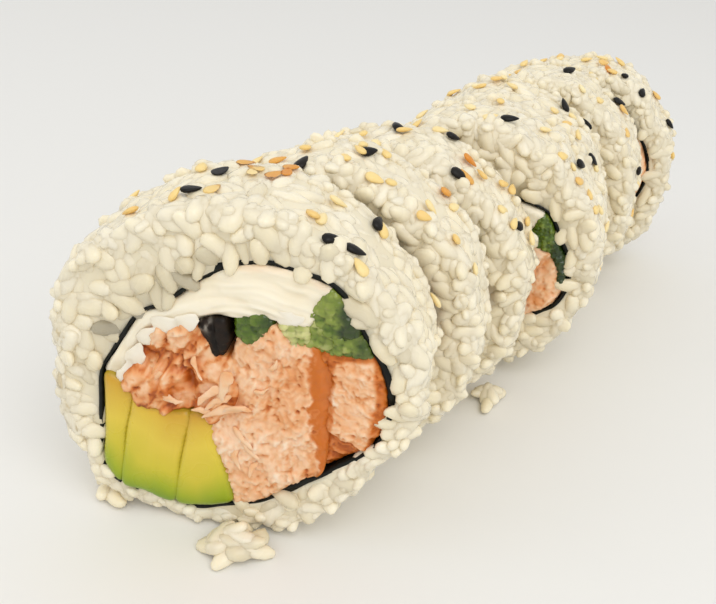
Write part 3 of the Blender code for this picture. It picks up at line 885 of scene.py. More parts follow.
# ------------------------------------------------------------------ nori
@dataclass
class NoriRing:
    """The crinkled sheet of nori between the rice and the fillings."""

    plan: SlicePlan
    columns: int = 420
    width: float = 0.55
    gap_shade_bands: tuple[tuple[float, float, float], ...] = ()

    def build(self) -> None:
        """Carry a thin cross-section round the filling, its width and its cut edges uneven.

        The radius follows the hole in the rice, less a width that slow and fine noise vary;
        at each of these places (angle, extra width, spread in degrees) the dark sheet is widened, a dark band
        painted in for the shade in the gap between rice and filling.
        """
        plan = self.plan
        angle = np.linspace(0, 2 * np.pi, self.columns + 1)[:-1]
        flat = np.stack([np.cos(angle), np.sin(angle)], 1) * 20.0
        slow = noise(flat, (5.0, 5.0), 300 + plan.index)
        fine = noise(flat, (0.9, 0.9), 310 + plan.index)
        outer = plan.hole(angle) + 0.05 + 0.1 * slow
        width = self.width + 0.2 * slow + 0.12 * fine
        # Painted shade: each band widens the dark sheet where the gap between rice and filling lies in shade.
        for where, extra, spread in self.gap_shade_bands:
            off = (np.degrees(angle) - where + 180.0) % 360.0 - 180.0
            bump = extra * np.exp(-(off / spread) ** 2)
            width = width + bump
            outer = outer + 0.55 * bump
        width = np.maximum(width, 0.3)
        h = plan.half - 0.5
        front = -h + 0.25 * noise(flat, (2.5, 2.5), 320 + plan.index)
        rear = h + 0.25 * noise(flat, (2.5, 2.5), 330 + plan.index)
        levels = (0.0, 0.06, 0.5, 0.94, 1.0)
        rings = []
        for step in levels:
            rings.append((outer, front + (rear - front) * step))
        for step in levels[::-1]:
            rings.append((outer - width, front + (rear - front) * step))
        points = np.vstack([plan.place(r * np.cos(angle), r * np.sin(angle), w) for r, w in rings])
        faces = outward(points - plan.middle, [loop_grid(len(rings), len(angle), True)])
        tone = 0.4 + 0.4 * noise(points, (1.5, 1.5, 1.5), 350 + plan.index)
        Skin(points, faces, tone).into(f"nori_sheet_{plan.index}", Finish.NORI, "nori",
                                       [f"nori_{plan.index}"])


# ------------------------------------------------------------------ fillings
Relief = Callable[[np.ndarray, np.ndarray, int], tuple[np.ndarray, np.ndarray, np.ndarray]]


def streaked(uv: np.ndarray, edge: np.ndarray, seed: int) -> tuple[np.ndarray, np.ndarray, np.ndarray]:
    """Cream cheese dragged by the knife: long shallow streaks that follow the band, on slow lumps.

    Args:
        uv: places in the first slice's filling.
        edge: distance from the piece's edge.
        seed: picks another pattern.
    Returns:
        Height, tone and accent.
    """
    r = np.hypot(uv[:, 0] - 1.0, uv[:, 1] + 6.0)
    t = np.arctan2(uv[:, 1] + 6.0, uv[:, 0] - 1.0) * 20.0
    band = np.stack([r + 0.05 * t + 0.5 * noise(uv, (4.0, 4.0), seed + 5), t], 1)
    streak = noise(band, (0.55, 9.0), seed) * 0.6 + noise(band, (0.28, 6.0), seed + 1) * 0.4
    lump = noise(uv, (4.5, 3.0), seed + 2)
    tear = np.clip(noise(band, (1.1, 3.5), seed + 3) - 0.35, 0, 1)
    height = 0.22 * streak + 0.35 * lump - 0.5 * tear - 0.7 * np.exp(-edge / 0.45)
    low = smooth(edge, 0.0, 1.6)
    # Painted shade: the tears and the rim, where the cheese dips, are painted darker.
    tone = 0.66 + 0.16 * streak + 0.08 * lump - 0.3 * tear - 0.12 * (1 - low)
    stain = 0.45 * np.clip(noise(uv, (3.0, 2.0), seed + 4) + 0.1, 0, 1) * (1 - smooth(edge, 0.2, 1.4))
    return height, tone, stain


def flaked(angle: float, flake: tuple[float, float], drop: float, paler: float = 0.0,
           crack_shade: float = 0.12, fibre_highlight: float = 0.1) -> Relief:
    """Flaked fish: torn plates at different heights, short ridged fibres on them, small pits.

    Args:
        angle: direction of the fibres, degrees from the right.
        flake: mean length and width of a plate.
        drop: how far the plates stand apart in height.
        paler: added to the tone.
        crack_shade: how much darker and oranger the cracks between plates are painted; painted shade.
        fibre_highlight: how much lighter the raised fibres are painted; painted highlight.
    Returns:
        The relief.
    """
    def relief(uv: np.ndarray, edge: np.ndarray, seed: int) -> tuple[np.ndarray, np.ndarray, np.ndarray]:
        """Height, tone and accent of the flaked fish."""
        warp = np.stack([noise(uv, (3.1, 3.1), seed + 7), noise(uv, (3.1, 3.1), seed + 8)], 1)
        fray = np.stack([noise(uv, (0.9, 0.9), seed + 17), noise(uv, (0.9, 0.9), seed + 18)], 1)
        p = turned(uv + 1.1 * warp + 0.35 * fray, angle)
        _, gap, pick = cells(p, flake, seed)
        _, shard_gap, shard = cells(p + 0.3 * warp, (1.5, 0.6), seed + 1)
        fibre = 1.0 - np.abs(noise(p, (1.7, 0.42), seed + 2)) * 2.0
        fine = noise(uv, (0.5, 0.5), seed + 3)
        step = smooth(gap, 0.0, 0.35)
        slope = noise(p, (flake[0] * 1.2, flake[1] * 1.2), seed + 4)
        pit = smooth(noise(uv, (0.75, 0.75), seed + 5), 0.5, 0.85)
        height = (drop * (pick - 0.5) * step + 0.6 * drop * slope + 0.16 * fibre + 0.22 * (shard - 0.5)
                  - 0.12 * (1.0 - smooth(shard_gap, 0.0, 0.25)) + 0.1 * fine - 0.35 * pit
                  - 0.8 * np.exp(-edge / 0.5))
        # Painted light: the tone follows the height; raised fibres and shards are painted lighter as painted
        # highlight, and pits, the cracks between plates and the rim are painted darker as painted shade.
        tone = (0.6 + paler + 0.14 * (pick - 0.5) + fibre_highlight * fibre + 0.22 * (shard - 0.5) + 0.05 * fine
                - 0.3 * pit - crack_shade * (1 - smooth(gap, 0.0, 0.5)) + 0.16 * noise(uv, (4.0, 4.0), seed + 9))
        tone = tone - 0.12 * np.exp(-edge / 0.4)
        return height, tone, np.zeros(len(uv))
    return relief


def main_salmon(uv: np.ndarray, edge: np.ndarray, seed: int) -> tuple[np.ndarray, np.ndarray, np.ndarray]:
    """The big block: crumbly fibres, and an amber crust down its right side."""
    height, tone, _ = flaked(68.0, (4.2, 1.9), 0.5, 0.04)(uv, edge, seed)
    seam = (11.6 + 0.6 * noise(uv, (1.6, 1.6), seed + 20) + 0.35 * noise(uv, (0.6, 0.6), seed + 22)
            + 1.2 * smooth(-uv[:, 1], 3.0, 10.0) - 0.7 * smooth(uv[:, 1], 1.0, 5.0))
    past = uv[:, 0] - seam
    crust = smooth(past, -0.2, 0.25)
    spot = smooth(noise(uv, (0.6, 0.9), seed + 21), 0.3, 0.7) * (1 - smooth(past, 0.2, 1.2))
    fade = smooth(past, 0.9, 2.6)
    height = (height * (1 - 0.75 * crust) - crust * (0.1 + 0.9 * fade)
              + 0.12 * crust * noise(uv, (1.1, 2.0), seed + 23))
    tone = (tone * (1 - crust)
            + crust * (0.42 - 0.4 * spot - 0.25 * fade + 0.12 * noise(uv, (1.5, 2.5), seed + 24)))
    # Painted shade: a darker band painted just inside the crust's edge.
    tone = tone - 0.16 * np.exp(-((past + 0.9) / 0.7) ** 2)
    return height, tone, crust * (0.95 - 0.85 * spot - 0.35 * fade)


def side_salmon(uv: np.ndarray, edge: np.ndarray, seed: int) -> tuple[np.ndarray, np.ndarray, np.ndarray]:
    """The block at the right: slanting fibres, its top and its right edge browned."""
    height, tone, _ = flaked(-28.0, (5.0, 1.5), 0.3, 0.06, 0.16, 0.16)(uv, edge, seed)
    rough = 0.35 * noise(uv, (1.1, 1.1), seed + 30)
    top = smooth(uv[:, 1] + rough, 6.9, 7.6)
    right = smooth(uv[:, 0] + 0.12 * np.abs(uv[:, 1] - 1.0) + rough, 20.3, 21.2)
    left = 0.8 * smooth(14.9 - uv[:, 0] + rough, 0.0, 0.6)
    foot = smooth(-uv[:, 1] - 0.55 * (uv[:, 0] - 17.0) + rough, 6.6, 7.4)
    height = height - 1.1 * foot
    brown = np.maximum.reduce([top, right, foot, left])
    return height - 0.3 * brown, tone - 0.5 * brown, 0.55 * brown - 0.25 * foot


def left_salmon(uv: np.ndarray, edge: np.ndarray, seed: int) -> tuple[np.ndarray, np.ndarray, np.ndarray]:
    """The ragged flakes at the left: big curled plates with a hollow among them, the hollow darkened as
    painted shade.
    """
    height, tone, _ = flaked(62.0, (5.2, 2.4), 2.4, 0.02, 0.36)(uv, edge, seed)
    hollow = np.exp(-(((uv[:, 0] + 6.4) / 0.9) ** 2 + ((uv[:, 1] - 0.6) / 1.9) ** 2))
    nook = np.exp(-(((uv[:, 0] + 8.3) / 1.3) ** 2 + ((uv[:, 1] - 1.9) / 0.7) ** 2))
    curl = np.exp(-(((uv[:, 0] + 9.8) / 2.2) ** 2 + ((uv[:, 1] + 2.0) / 1.3) ** 2))
    right = smooth(uv[:, 0], -5.5, -3.0)
    height = height * (1 - 0.5 * right) - 2.0 * hollow - 1.2 * nook + 0.5 * curl
    # Painted shade: the hollow and the nook are painted darker, with an oranger accent in the hollow.
    tone = tone - 0.75 * hollow - 0.35 * nook - 0.16 * curl - 0.1 * (1 - right)
    return height, tone, 0.35 * hollow + 0.2 * curl


def buttery(uv: np.ndarray, edge: np.ndarray, seed: int) -> tuple[np.ndarray, np.ndarray, np.ndarray]:
    """Avocado: a smooth swelling face, green by the skin at its foot, yellow and amber above."""
    skin = curve_open(FILLING_LINE[25:])
    rim = np.min(np.hypot(uv[:, None, 0] - skin[None, :, 0], uv[:, None, 1] - skin[None, :, 1]), axis=1)
    tone = 0.02 + rim / 17.0 + 0.03 * noise(uv, (2.0, 5.0), seed + 2) + 0.05 * noise(uv, (6.0, 6.0), seed + 3)
    height = 0.45 * (1 - np.exp(-edge / 1.2)) - 0.5 * np.exp(-edge / 0.3) + 0.12 * noise(uv, (5.0, 7.0), seed)
    height = height + 0.04 * noise(turned(uv, 80.0), (6.0, 0.6), seed + 1)
    # Painted shade: a thin darker olive line along every edge, where the pieces dip and meet.
    return height, tone, 0.55 * np.exp(-edge / 0.2)


def curve_open(line: np.ndarray) -> np.ndarray:
    """Points closely spaced along an open line."""
    t = np.linspace(0, len(line) - 1, 60)
    return np.stack([np.interp(t, np.arange(len(line)), line[:, k]) for k in (0, 1)], 1)


def glassy(tint: float, skin: float) -> Relief:
    """Wet cucumber: facets of torn flesh with light and dark cells.

    Args:
        tint: the piece's own lightness, 0 dark to 1 light.
        skin: how much dark skin shows on its right side.
    Returns:
        The relief.
    """
    def relief(uv: np.ndarray, edge: np.ndarray, seed: int) -> tuple[np.ndarray, np.ndarray, np.ndarray]:
        """Height, tone and accent of the cucumber."""
        near, gap, pick = cells(uv, (1.3, 1.1), seed)
        height = 0.5 * (pick - 0.5) - 0.25 * (1 - smooth(gap, 0, 0.3)) + 0.2 * (0.5 - near)
        height = height - 0.7 * np.exp(-edge / 0.35) + 0.3 * (1 - np.exp(-edge / 0.8))
        tone = tint + 0.3 * (pick - 0.5) + 0.12 * noise(uv, (0.7, 0.7), seed + 1)
        middle = uv[:, 0].mean()
        side = smooth(uv[:, 0] - middle + 0.6 * noise(uv, (1.2, 1.2), seed + 2), 0.2, 1.6)
        return height, tone, skin * side
    return relief


def curled(uv: np.ndarray, edge: np.ndarray, seed: int) -> tuple[np.ndarray, np.ndarray, np.ndarray]:
    """The dark curl: a rounded strip with a groove down it and a smear of cheese on its top."""
    height = 1.1 * np.sqrt(np.clip(edge / 1.7, 0, 1)) - 0.9
    groove = np.exp(-((uv[:, 0] + 2.3 + 0.18 * (uv[:, 1] - 8.0)) / 0.35) ** 2)
    height = height - 0.5 * groove + 0.15 * noise(uv, (0.6, 0.6), seed)
    smear = np.exp(-(((uv[:, 0] + 4.1) / 0.9) ** 2 + ((uv[:, 1] - 10.3) / 0.8) ** 2))
    smear = smear * smooth(noise(uv, (0.5, 1.0), seed + 3), -0.5, 0.3)
    # Painted shade: the groove is painted darker.
    return height, 0.4 + 0.35 * noise(uv, (0.7, 0.7), seed + 2) - 0.3 * groove, 0.9 * smear


CHEESE = [(-19, -0.5), (-17, 3), (-15, 6.5), (-13, 9.5), (-9.5, 11.5), (-6, 14.5), (-3, 17),
          (0.5, 19), (5, 19.8), (9, 19.2), (13.5, 17.8), (12, 15.5), (11.3, 13.2), (10.3, 12),
          (8.5, 12.2), (4.5, 12.6), (1, 12), (-2, 12.2), (-5, 11), (-6.5, 9.8), (-10, 9),
          (-12, 8.3), (-13.3, 6), (-14.3, 3.5), (-15.2, 1), (-16.2, -1.8)]
CUCUMBER_DARK = [(1, 12), (4.5, 12.6), (5.6, 11.2), (4, 9), (2.5, 8), (0.8, 9.2)]
CUCUMBER_LIGHT = [(6.8, 11.6), (8.5, 12.2), (10.3, 12), (10.8, 11), (10.4, 8.6), (9.5, 8.5), (8, 9.5)]
CUCUMBER_TOP = [(13.5, 17.8), (16, 15), (17.5, 11.5), (13.6, 10.8), (11.3, 13.2), (12, 15.5)]
CUCUMBER_LOW = [(10.3, 12), (11.3, 13.2), (13.6, 10.8), (14.4, 10), (14.2, 8.2), (10.4, 8.6), (10.8, 11)]
CUCUMBER_RIGHT = [(17.5, 11.5), (19.5, 8.5), (14.2, 8.2), (14.4, 10), (13.6, 10.8)]
CURL = [(-5, 10.2), (-4, 11), (-2, 11.5), (-0.8, 11.2), (-0.4, 9.5), (-0.3, 7.5), (-1.0, 5.7),
        (-2, 4.8), (-3, 5.3), (-3.6, 7), (-4.4, 8.2)]
SALMON_LEFT = [(-16.2, -1.8), (-15.2, 1), (-14.3, 3.5), (-13.3, 6), (-12, 8.3), (-10, 9),
               (-6.5, 9.8), (-5, 10.2), (-4.4, 8.2), (-3.6, 7), (-3, 5.3), (-2, 4.8), (0, 4),
               (0.5, 0), (-0.5, -3.5), (-3.4, -6.4), (-6.6, -5.6), (-10.5, -5.7),
               (-14, -4.7), (-15, -3.2)]
SALMON_MAIN = [(0.5, 0), (0, 4), (0.5, 6), (1, 8), (2.5, 8), (4, 9), (5.8, 10.9), (8, 9.5),
               (9.5, 8.5), (10.4, 8.6), (12, 8.2), (12.6, 6.4), (13.9, 5.4), (14.4, 4), (14.2, 0),
               (14, -3), (13.7, -6.4), (13.6, -10), (13, -13), (9.5, -15.5), (6, -18.5),
               (3, -20.5), (-0.5, -21.3), (-0.5, -19), (-1.3, -15.3), (-2.4, -11.3),
               (-3.4, -6.4), (-0.5, -3.5)]
SALMON_SIDE = [(12, 8.2), (14.2, 8.2), (19.5, 8.5), (21.2, 5), (22, 1), (21.5, -3.5),
               (19.5, -8), (17, -10), (13.4, -12.4), (13.7, -6.4), (14, -3), (14.2, 0), (14.4, 4),
               (13.9, 5.4), (12.6, 6.4)]
AVOCADO_A = [(-19, -0.5), (-16.2, -1.8), (-15, -3.2), (-15.8, -7), (-16.8, -11.5),
             (-18, -20.5), (-20.5, -17.5), (-20, -11.5), (-19.5, -4.5)]
AVOCADO_B = [(-15, -3.2), (-14, -4.7), (-10.5, -5.7), (-6.6, -5.6), (-7.5, -10.5),
             (-8.4, -15), (-9.5, -22.7), (-14.5, -21.7), (-18, -20.5), (-16.8, -11.5), (-15.8, -7)]
AVOCADO_C = [(-6.6, -5.6), (-3.4, -6.4), (-2.4, -11.3), (-1.3, -15.3), (-0.5, -19),
             (-0.5, -21.3), (-5, -23), (-9.5, -22.7), (-8.4, -15), (-7.5, -10.5)]
# The fourth slice's cucumber runs down its right side.
CUCUMBER_FOURTH = [(13.5, 17.8), (16, 15), (17.5, 11.5), (19.5, 8.5), (21.2, 5), (22, 1),
                   (21.6, -2.5), (20.2, -2), (19.9, 1.5), (18.4, 5), (16, 7.4), (10.4, 8.6),
                   (10.3, 12), (11.3, 13.2)]
SALMON_FOURTH = [(-16.2, -1.8), (-15.2, 1), (-12, 8.3), (-6.5, 9.8), (-2, 12.2), (4.5, 12.6),
                 (10.3, 12), (10.4, 8.6), (16, 7.4), (18.4, 5), (19.9, 1.5), (20.2, -2),
                 (21.6, -2.5), (21.5, -3.5), (19.5, -8), (13, -13), (6, -18.5), (-0.5, -21.3),
                 (-2.4, -11.3), (-3.4, -6.4), (-14, -4.7)]
CUCUMBER_ALL = [(13.5, 17.8), (16, 15), (17.5, 11.5), (19.5, 8.5), (14.2, 8.2), (10.4, 8.6),
                (10.8, 11), (10.3, 12), (11.3, 13.2), (12, 15.5)]
SALMON_ALL = [(-16.2, -1.8), (-15.2, 1), (-12, 8.3), (-6.5, 9.8), (-2, 12.2), (4.5, 12.6),
              (8.5, 12.2), (10.3, 12), (10.8, 11), (10.4, 8.6), (14.2, 8.2), (19.5, 8.5), (22, 1),
              (21.5, -3.5), (19.5, -8), (17, -10), (13, -13), (6, -18.5), (-0.5, -21.3),
              (-0.5, -19), (-2.4, -11.3), (-3.4, -6.4), (-14, -4.7), (-15, -3.2)]
AVOCADO_ALL = [(-19, -0.5), (-16.2, -1.8), (-15, -3.2), (-14, -4.7), (-3.4, -6.4), (-2.4, -11.3),
               (-0.5, -21.3), (-5, -23), (-9.5, -22.7), (-14.5, -21.7), (-18, -20.5),
               (-20.5, -17.5), (-20, -11.5), (-19.5, -4.5)]


@dataclass
class Filling:
    """One filling that runs right through a slice, with a relief on both of its cut faces."""

    plan: SlicePlan
    name: str
    shape: Sequence[tuple[float, float]]
    relief: Relief
    finish: Finish
    slot: str
    proud: float
    spacing: float
    swell: float = 0.5

    def cap(self, line: np.ndarray) -> tuple[np.ndarray, np.ndarray, np.ndarray]:
        """Fill an outline with triangles: its own points and a honeycomb inside it.

        Args:
            line: (n, 2) closed outline.
        Returns:
            All points, the triangles, and the number of each outline point among them.
        """
        step = self.spacing
        low, high = line.min(0), line.max(0)
        rows = np.arange(low[1], high[1], step * 0.87)
        columns = np.arange(low[0], high[0], step)
        gx, gy = np.meshgrid(columns, rows)
        gx = gx + (np.arange(len(rows)) % 2)[:, None] * 0.5 * step
        grid = np.stack([gx.ravel(), gy.ravel()], 1)
        grid = grid[inside(grid, line)]
        grid = grid[edge_distance(grid, line) > 0.55 * step]
        places = np.vstack([line, grid])
        count = len(line)
        verts, _, tris, origin, _, _ = delaunay_2d_cdt(
            [Vector(p) for p in places.tolist()], [], [list(range(count))], 1, 1e-5)
        number = np.zeros(len(places), dtype=np.int64)
        for made, sources in enumerate(origin):
            for source in sources:
                number[source] = made
        return np.array([tuple(v) for v in verts]), np.array(tris), number[:count]

    def build(self) -> None:
        """Make both cut faces and the wall between them as one closed surface."""
        plan = self.plan
        line = anticlockwise(np.array(self.shape, float))
        line = even(curve_through(moved_out(line, self.swell), 8), self.spacing)
        flat, tris, rim = self.cap(line)
        edge = edge_distance(flat, line)
        seed = 1000 + 37 * plan.index + sum(map(ord, self.name))
        h = plan.half + self.proud
        parts = []
        for side, sign in ((0, -1.0), (1, 1.0)):
            height, tone, accent = self.relief(flat, edge, seed + 500 * side)
            uv = plan.turned_filling(flat)
            parts.append((plan.place(uv[:, 0], uv[:, 1], sign * (h + np.minimum(height, 1.2))), tone, accent))
        n = len(flat)
        rows = max(4, int(2 * h / 1.6))
        wall_points, wall_tone, wall_accent = [], [], []
        for k in range(1, rows):
            f = k / rows
            start, end = parts[0][0][rim], parts[1][0][rim]
            wall_points.append(start * (1 - f) + end * f)
            wall_tone.append(parts[0][1][rim] * (1 - f) + parts[1][1][rim] * f)
            wall_accent.append(parts[0][2][rim] * (1 - f) + parts[1][2][rim] * f)
        points = np.vstack([parts[0][0], parts[1][0]] + wall_points)
        rings = [rim] + [2 * n + k * len(rim) + np.arange(len(rim)) for k in range(rows - 1)] + [n + rim]
        quads = [np.stack([a, b, np.roll(b, -1), np.roll(a, -1)], 1)
                 for a, b in zip(rings[:-1], rings[1:])]
        walls = np.vstack(quads)
        edge_pair = set(map(tuple, np.stack([tris, np.roll(tris, -1, 1)], -1).reshape(-1, 2).tolist()))
        forward = (int(rim[0]), int(rim[1])) in edge_pair
        front = tris if forward else tris[:, ::-1]
        back = front[:, ::-1] + n
        faces = [front, back, walls]
        tone = np.concatenate([parts[0][1], parts[1][1]] + wall_tone)
        accent = np.concatenate([parts[0][2], parts[1][2]] + wall_accent)
        faces = outward(points - points.mean(0), faces)
        Skin(points, faces, tone, accent).into(
            f"{self.name}_cut_{plan.index}", self.finish, self.slot, [f"{self.name}_{plan.index}"])


def first_fillings(plan: SlicePlan) -> list[Filling]:
    """The nearest slice's fillings, each piece by itself."""
    salmon = (Finish.SALMON, "salmon")
    avocado = (Finish.AVOCADO, "avocado")
    cucumber = (Finish.CUCUMBER, "cucumber")
    # name, outline, relief, finish and slot, how far it stands out, spacing and swell
    rows = [
        ("cream_cheese", CHEESE, streaked, (Finish.CHEESE, "cream_cheese"), 0.0, 0.3, 0.5),
        ("salmon_flakes", SALMON_LEFT, left_salmon, salmon, 0.4, 0.32, 0.5),
        ("salmon", SALMON_MAIN, main_salmon, salmon, 0.35, 0.32, 0.5),
        ("salmon_side", SALMON_SIDE, side_salmon, salmon, 0.1, 0.32, 0.5),
        ("avocado_left", AVOCADO_A, buttery, avocado, 0.4, 0.4, 0.16),
        ("avocado", AVOCADO_B, buttery, avocado, 0.5, 0.4, 0.16),
        ("avocado_right", AVOCADO_C, buttery, avocado, 0.4, 0.4, 0.16),
        ("cucumber_dark", CUCUMBER_DARK, glassy(0.3, 0.5), cucumber, 0.0, 0.28, 0.5),
        ("cucumber_light", CUCUMBER_LIGHT, glassy(0.85, 0.0), cucumber, 0.0, 0.28, 0.5),
        ("cucumber_top", CUCUMBER_TOP, glassy(0.5, 0.9), cucumber, 0.0, 0.28, 0.5),
        ("cucumber_low", CUCUMBER_LOW, glassy(0.65, 0.2), cucumber, -0.2, 0.28, 0.5),
        ("cucumber_right", CUCUMBER_RIGHT, glassy(0.5, 0.6), cucumber, 0.0, 0.28, 0.5),
        ("olive_curl", CURL, curled, (Finish.OLIVE, "olive"), 0.5, 0.25, 0.0),
    ]
    return [Filling(plan, name, shape, relief, *kind, *sizes) for name, shape, relief, kind, *sizes in rows]


def glimpsed_fillings(plan: SlicePlan) -> list[Filling]:
    """A further slice's fillings, one piece for each kind."""
    step = 0.6
    fourth = plan.index == 4
    return [
        Filling(plan, "cream_cheese", CHEESE, streaked, Finish.CHEESE, "cream_cheese", 0.0, step),
        Filling(plan, "salmon", SALMON_FOURTH if fourth else SALMON_ALL, flaked(60.0, (4.6, 2.1), 0.9, 0.05),
                Finish.SALMON, "salmon", 0.3, step),
        Filling(plan, "avocado", AVOCADO_ALL, buttery, Finish.AVOCADO, "avocado", 0.2, step),
        Filling(plan, "cucumber", CUCUMBER_FOURTH if fourth else CUCUMBER_ALL, glassy(0.35, 0.9),
                Finish.CUCUMBER, "cucumber", 0.0, 0.4 if fourth else step),
    ]


# ------------------------------------------------------------------ sesame
@dataclass
class SesameSeeds:
    """Sesame seeds of one kind on the outer sides of the slices, as one surface."""

    name: str
    finish: Finish
    length: float
    width: float
    depth: float
    tone: tuple[float, float]
    placed: Sequence[tuple[int, float, float, float]] = ()
    scattered: int = 0
    columns: int = 9
    rows: int = 6
    proud: float = 0.3
    seed: int = 5

    def places(self, rng: np.random.Generator) -> np.ndarray:
        """Slice, angle, place across the slice and heading of every seed.

        Args:
            rng: for the scattered ones.
        Returns:
            (n, 4) rows.
        """
        rows = [list(row) for row in self.placed]
        for plan in SLICES:
            angle = np.clip(rng.normal(82, 38, self.scattered), -15, 185)
            across = rng.uniform(-0.9, 0.9, self.scattered) * plan.half
            heading = rng.uniform(0, 180, self.scattered)
            rows += [[plan.index, a, w, t] for a, w, t in zip(angle, across, heading)]
        return np.array(rows, float)

    def build(self) -> None:
        """Lay the seeds: a flattened drop, blunt at one end and pointed at the other."""
        rng = np.random.default_rng(self.seed)
        rows = self.places(rng)
        drop, faces = ball(self.columns, self.rows)
        x, y, z = drop.T
        narrow = 1.0 - 0.42 * x
        skins = []
        for plan in SLICES:
            mine = rows[rows[:, 0] == plan.index]
            if not len(mine):
                continue
            angle = np.radians(mine[:, 1])
            over = np.maximum(0.0, np.abs(mine[:, 2]) - (plan.half - RICE_CORNER))
            drop_in = RICE_CORNER - np.sqrt(np.maximum(0.0, RICE_CORNER ** 2 - over ** 2))
            uv, out = plan.outline(angle % (2 * np.pi), drop_in - self.proud)
            centre = plan.place(uv[:, 0], uv[:, 1], mine[:, 2])
            up = np.array([0, 0, 1.0])
            lean = np.sign(mine[:, 2]) * over / RICE_CORNER
            normal = unit(out[:, 0:1] * plan.right + out[:, 1:2] * up + lean[:, None] * plan.back
                          + rng.normal(0, 0.16, (len(mine), 3)))
            t1 = unit(np.cross(plan.back[None], normal))
            t2 = np.cross(normal, t1)
            spin = np.radians(mine[:, 3])
            long_axis = t1 * np.cos(spin)[:, None] + t2 * np.sin(spin)[:, None]
            side_axis = np.cross(normal, long_axis)
            size = rng.uniform(0.88, 1.1, len(mine))
            pts = (centre[:, None]
                   + (0.5 * self.length * size[:, None] * x)[..., None] * long_axis[:, None]
                   + (0.5 * self.width * size[:, None] * y * narrow)[..., None] * side_axis[:, None]
                   + (0.5 * self.depth * z * narrow)[..., None] * normal[:, None])
            step = (np.arange(len(mine)) * len(drop))[:, None, None]
            groups = [(group[None] + step).reshape(-1, group.shape[1]) for group in faces]
            tone = np.repeat(rng.uniform(*self.tone, len(mine)), len(drop))
            skins.append(Skin(pts.reshape(-1, 3), groups, tone))
        joined(skins).into(self.name, self.finish, None)


# ------------------------------------------------------------------ shreds and loose bits
@dataclass
class Shreds:
    """Slivers and smears lying on a cut face, as one surface."""

    name: str
    plan: SlicePlan
    finish: Finish
    slot: str
    # middle right and up, how far out of the face, length, width, direction in degrees
    rows: Sequence[tuple[float, float, float, float, float, float]]
    thick: float = 0.6
    lift: float = 0.25
    tone: float = 0.66

    def build(self) -> None:
        """Each one is a flat drop laid on the face, its tip lifted and its edge ragged."""
        rows = np.array(self.rows, float)
        drop, faces = ball(14, 9)
        x, y, z = drop.T
        narrow = 1.0 - 0.45 * x
        a = np.radians(rows[:, 5])
        along = np.stack([np.cos(a), np.sin(a)], 1)
        side = np.stack([-np.sin(a), np.cos(a)], 1)
        half_length = 0.5 * rows[:, 3]
        half_width = 0.5 * rows[:, 4]
        reach = half_length[:, None] * x
        sideways = half_width[:, None] * y * narrow + 0.18 * half_length[:, None] * (x * x)
        u = rows[:, 0:1] + reach * along[:, 0:1] + sideways * side[:, 0:1]
        v = rows[:, 1:2] + reach * along[:, 1:2] + sideways * side[:, 1:2]
        lift = rows[:, 2:3] + 0.5 * self.thick * z * narrow + self.lift * x
        flat = np.stack([u.ravel(), v.ravel()], 1)
        ragged = np.stack([noise(flat, (0.9, 0.9), 75), noise(flat, (0.9, 0.9), 76)], 1)
        flat = flat + 0.28 * ragged
        lift = lift.ravel() + 0.12 * noise(flat, (0.7, 0.7), 77)
        points = self.plan.place(flat[:, 0], flat[:, 1], -(self.plan.half + lift))
        step = (np.arange(len(rows)) * len(drop))[:, None, None]
        groups = [(group[None] + step).reshape(-1, group.shape[1]) for group in faces]
        groups = outward(points - points.mean(0), groups)
        tone = self.tone + 0.14 * ragged[:, 0] + 0.1 * np.tile(x, len(rows))
        Skin(points, groups, tone).into(self.name, self.finish, self.slot)


@dataclass
class LooseGrains:
    """Single grains that fell beside the row, as one surface."""

    # middle right, back and height, direction in degrees
    rows: Sequence[tuple[float, float, float, float]]
    grain: GrainShape = field(default_factory=GrainShape)

    def build(self) -> None:
        """Lay each grain on the board or against the rice."""
        rows = np.array(self.rows, float)
        n = len(rows)
        rng = np.random.default_rng(31)
        up = np.tile([0.0, 0.0, 1.0], (n, 1))
        skin = self.grain.lay(rows[:, :3], up, np.radians(rows[:, 3]), rng.uniform(-0.2, 0.2, n),
                              rng.uniform(0.5, 0.7, n), rng)
        skin.points[:, 2] = np.maximum(skin.points[:, 2], 0.02)
        skin.into("loose_rice_grains", Finish.RICE, "rice")


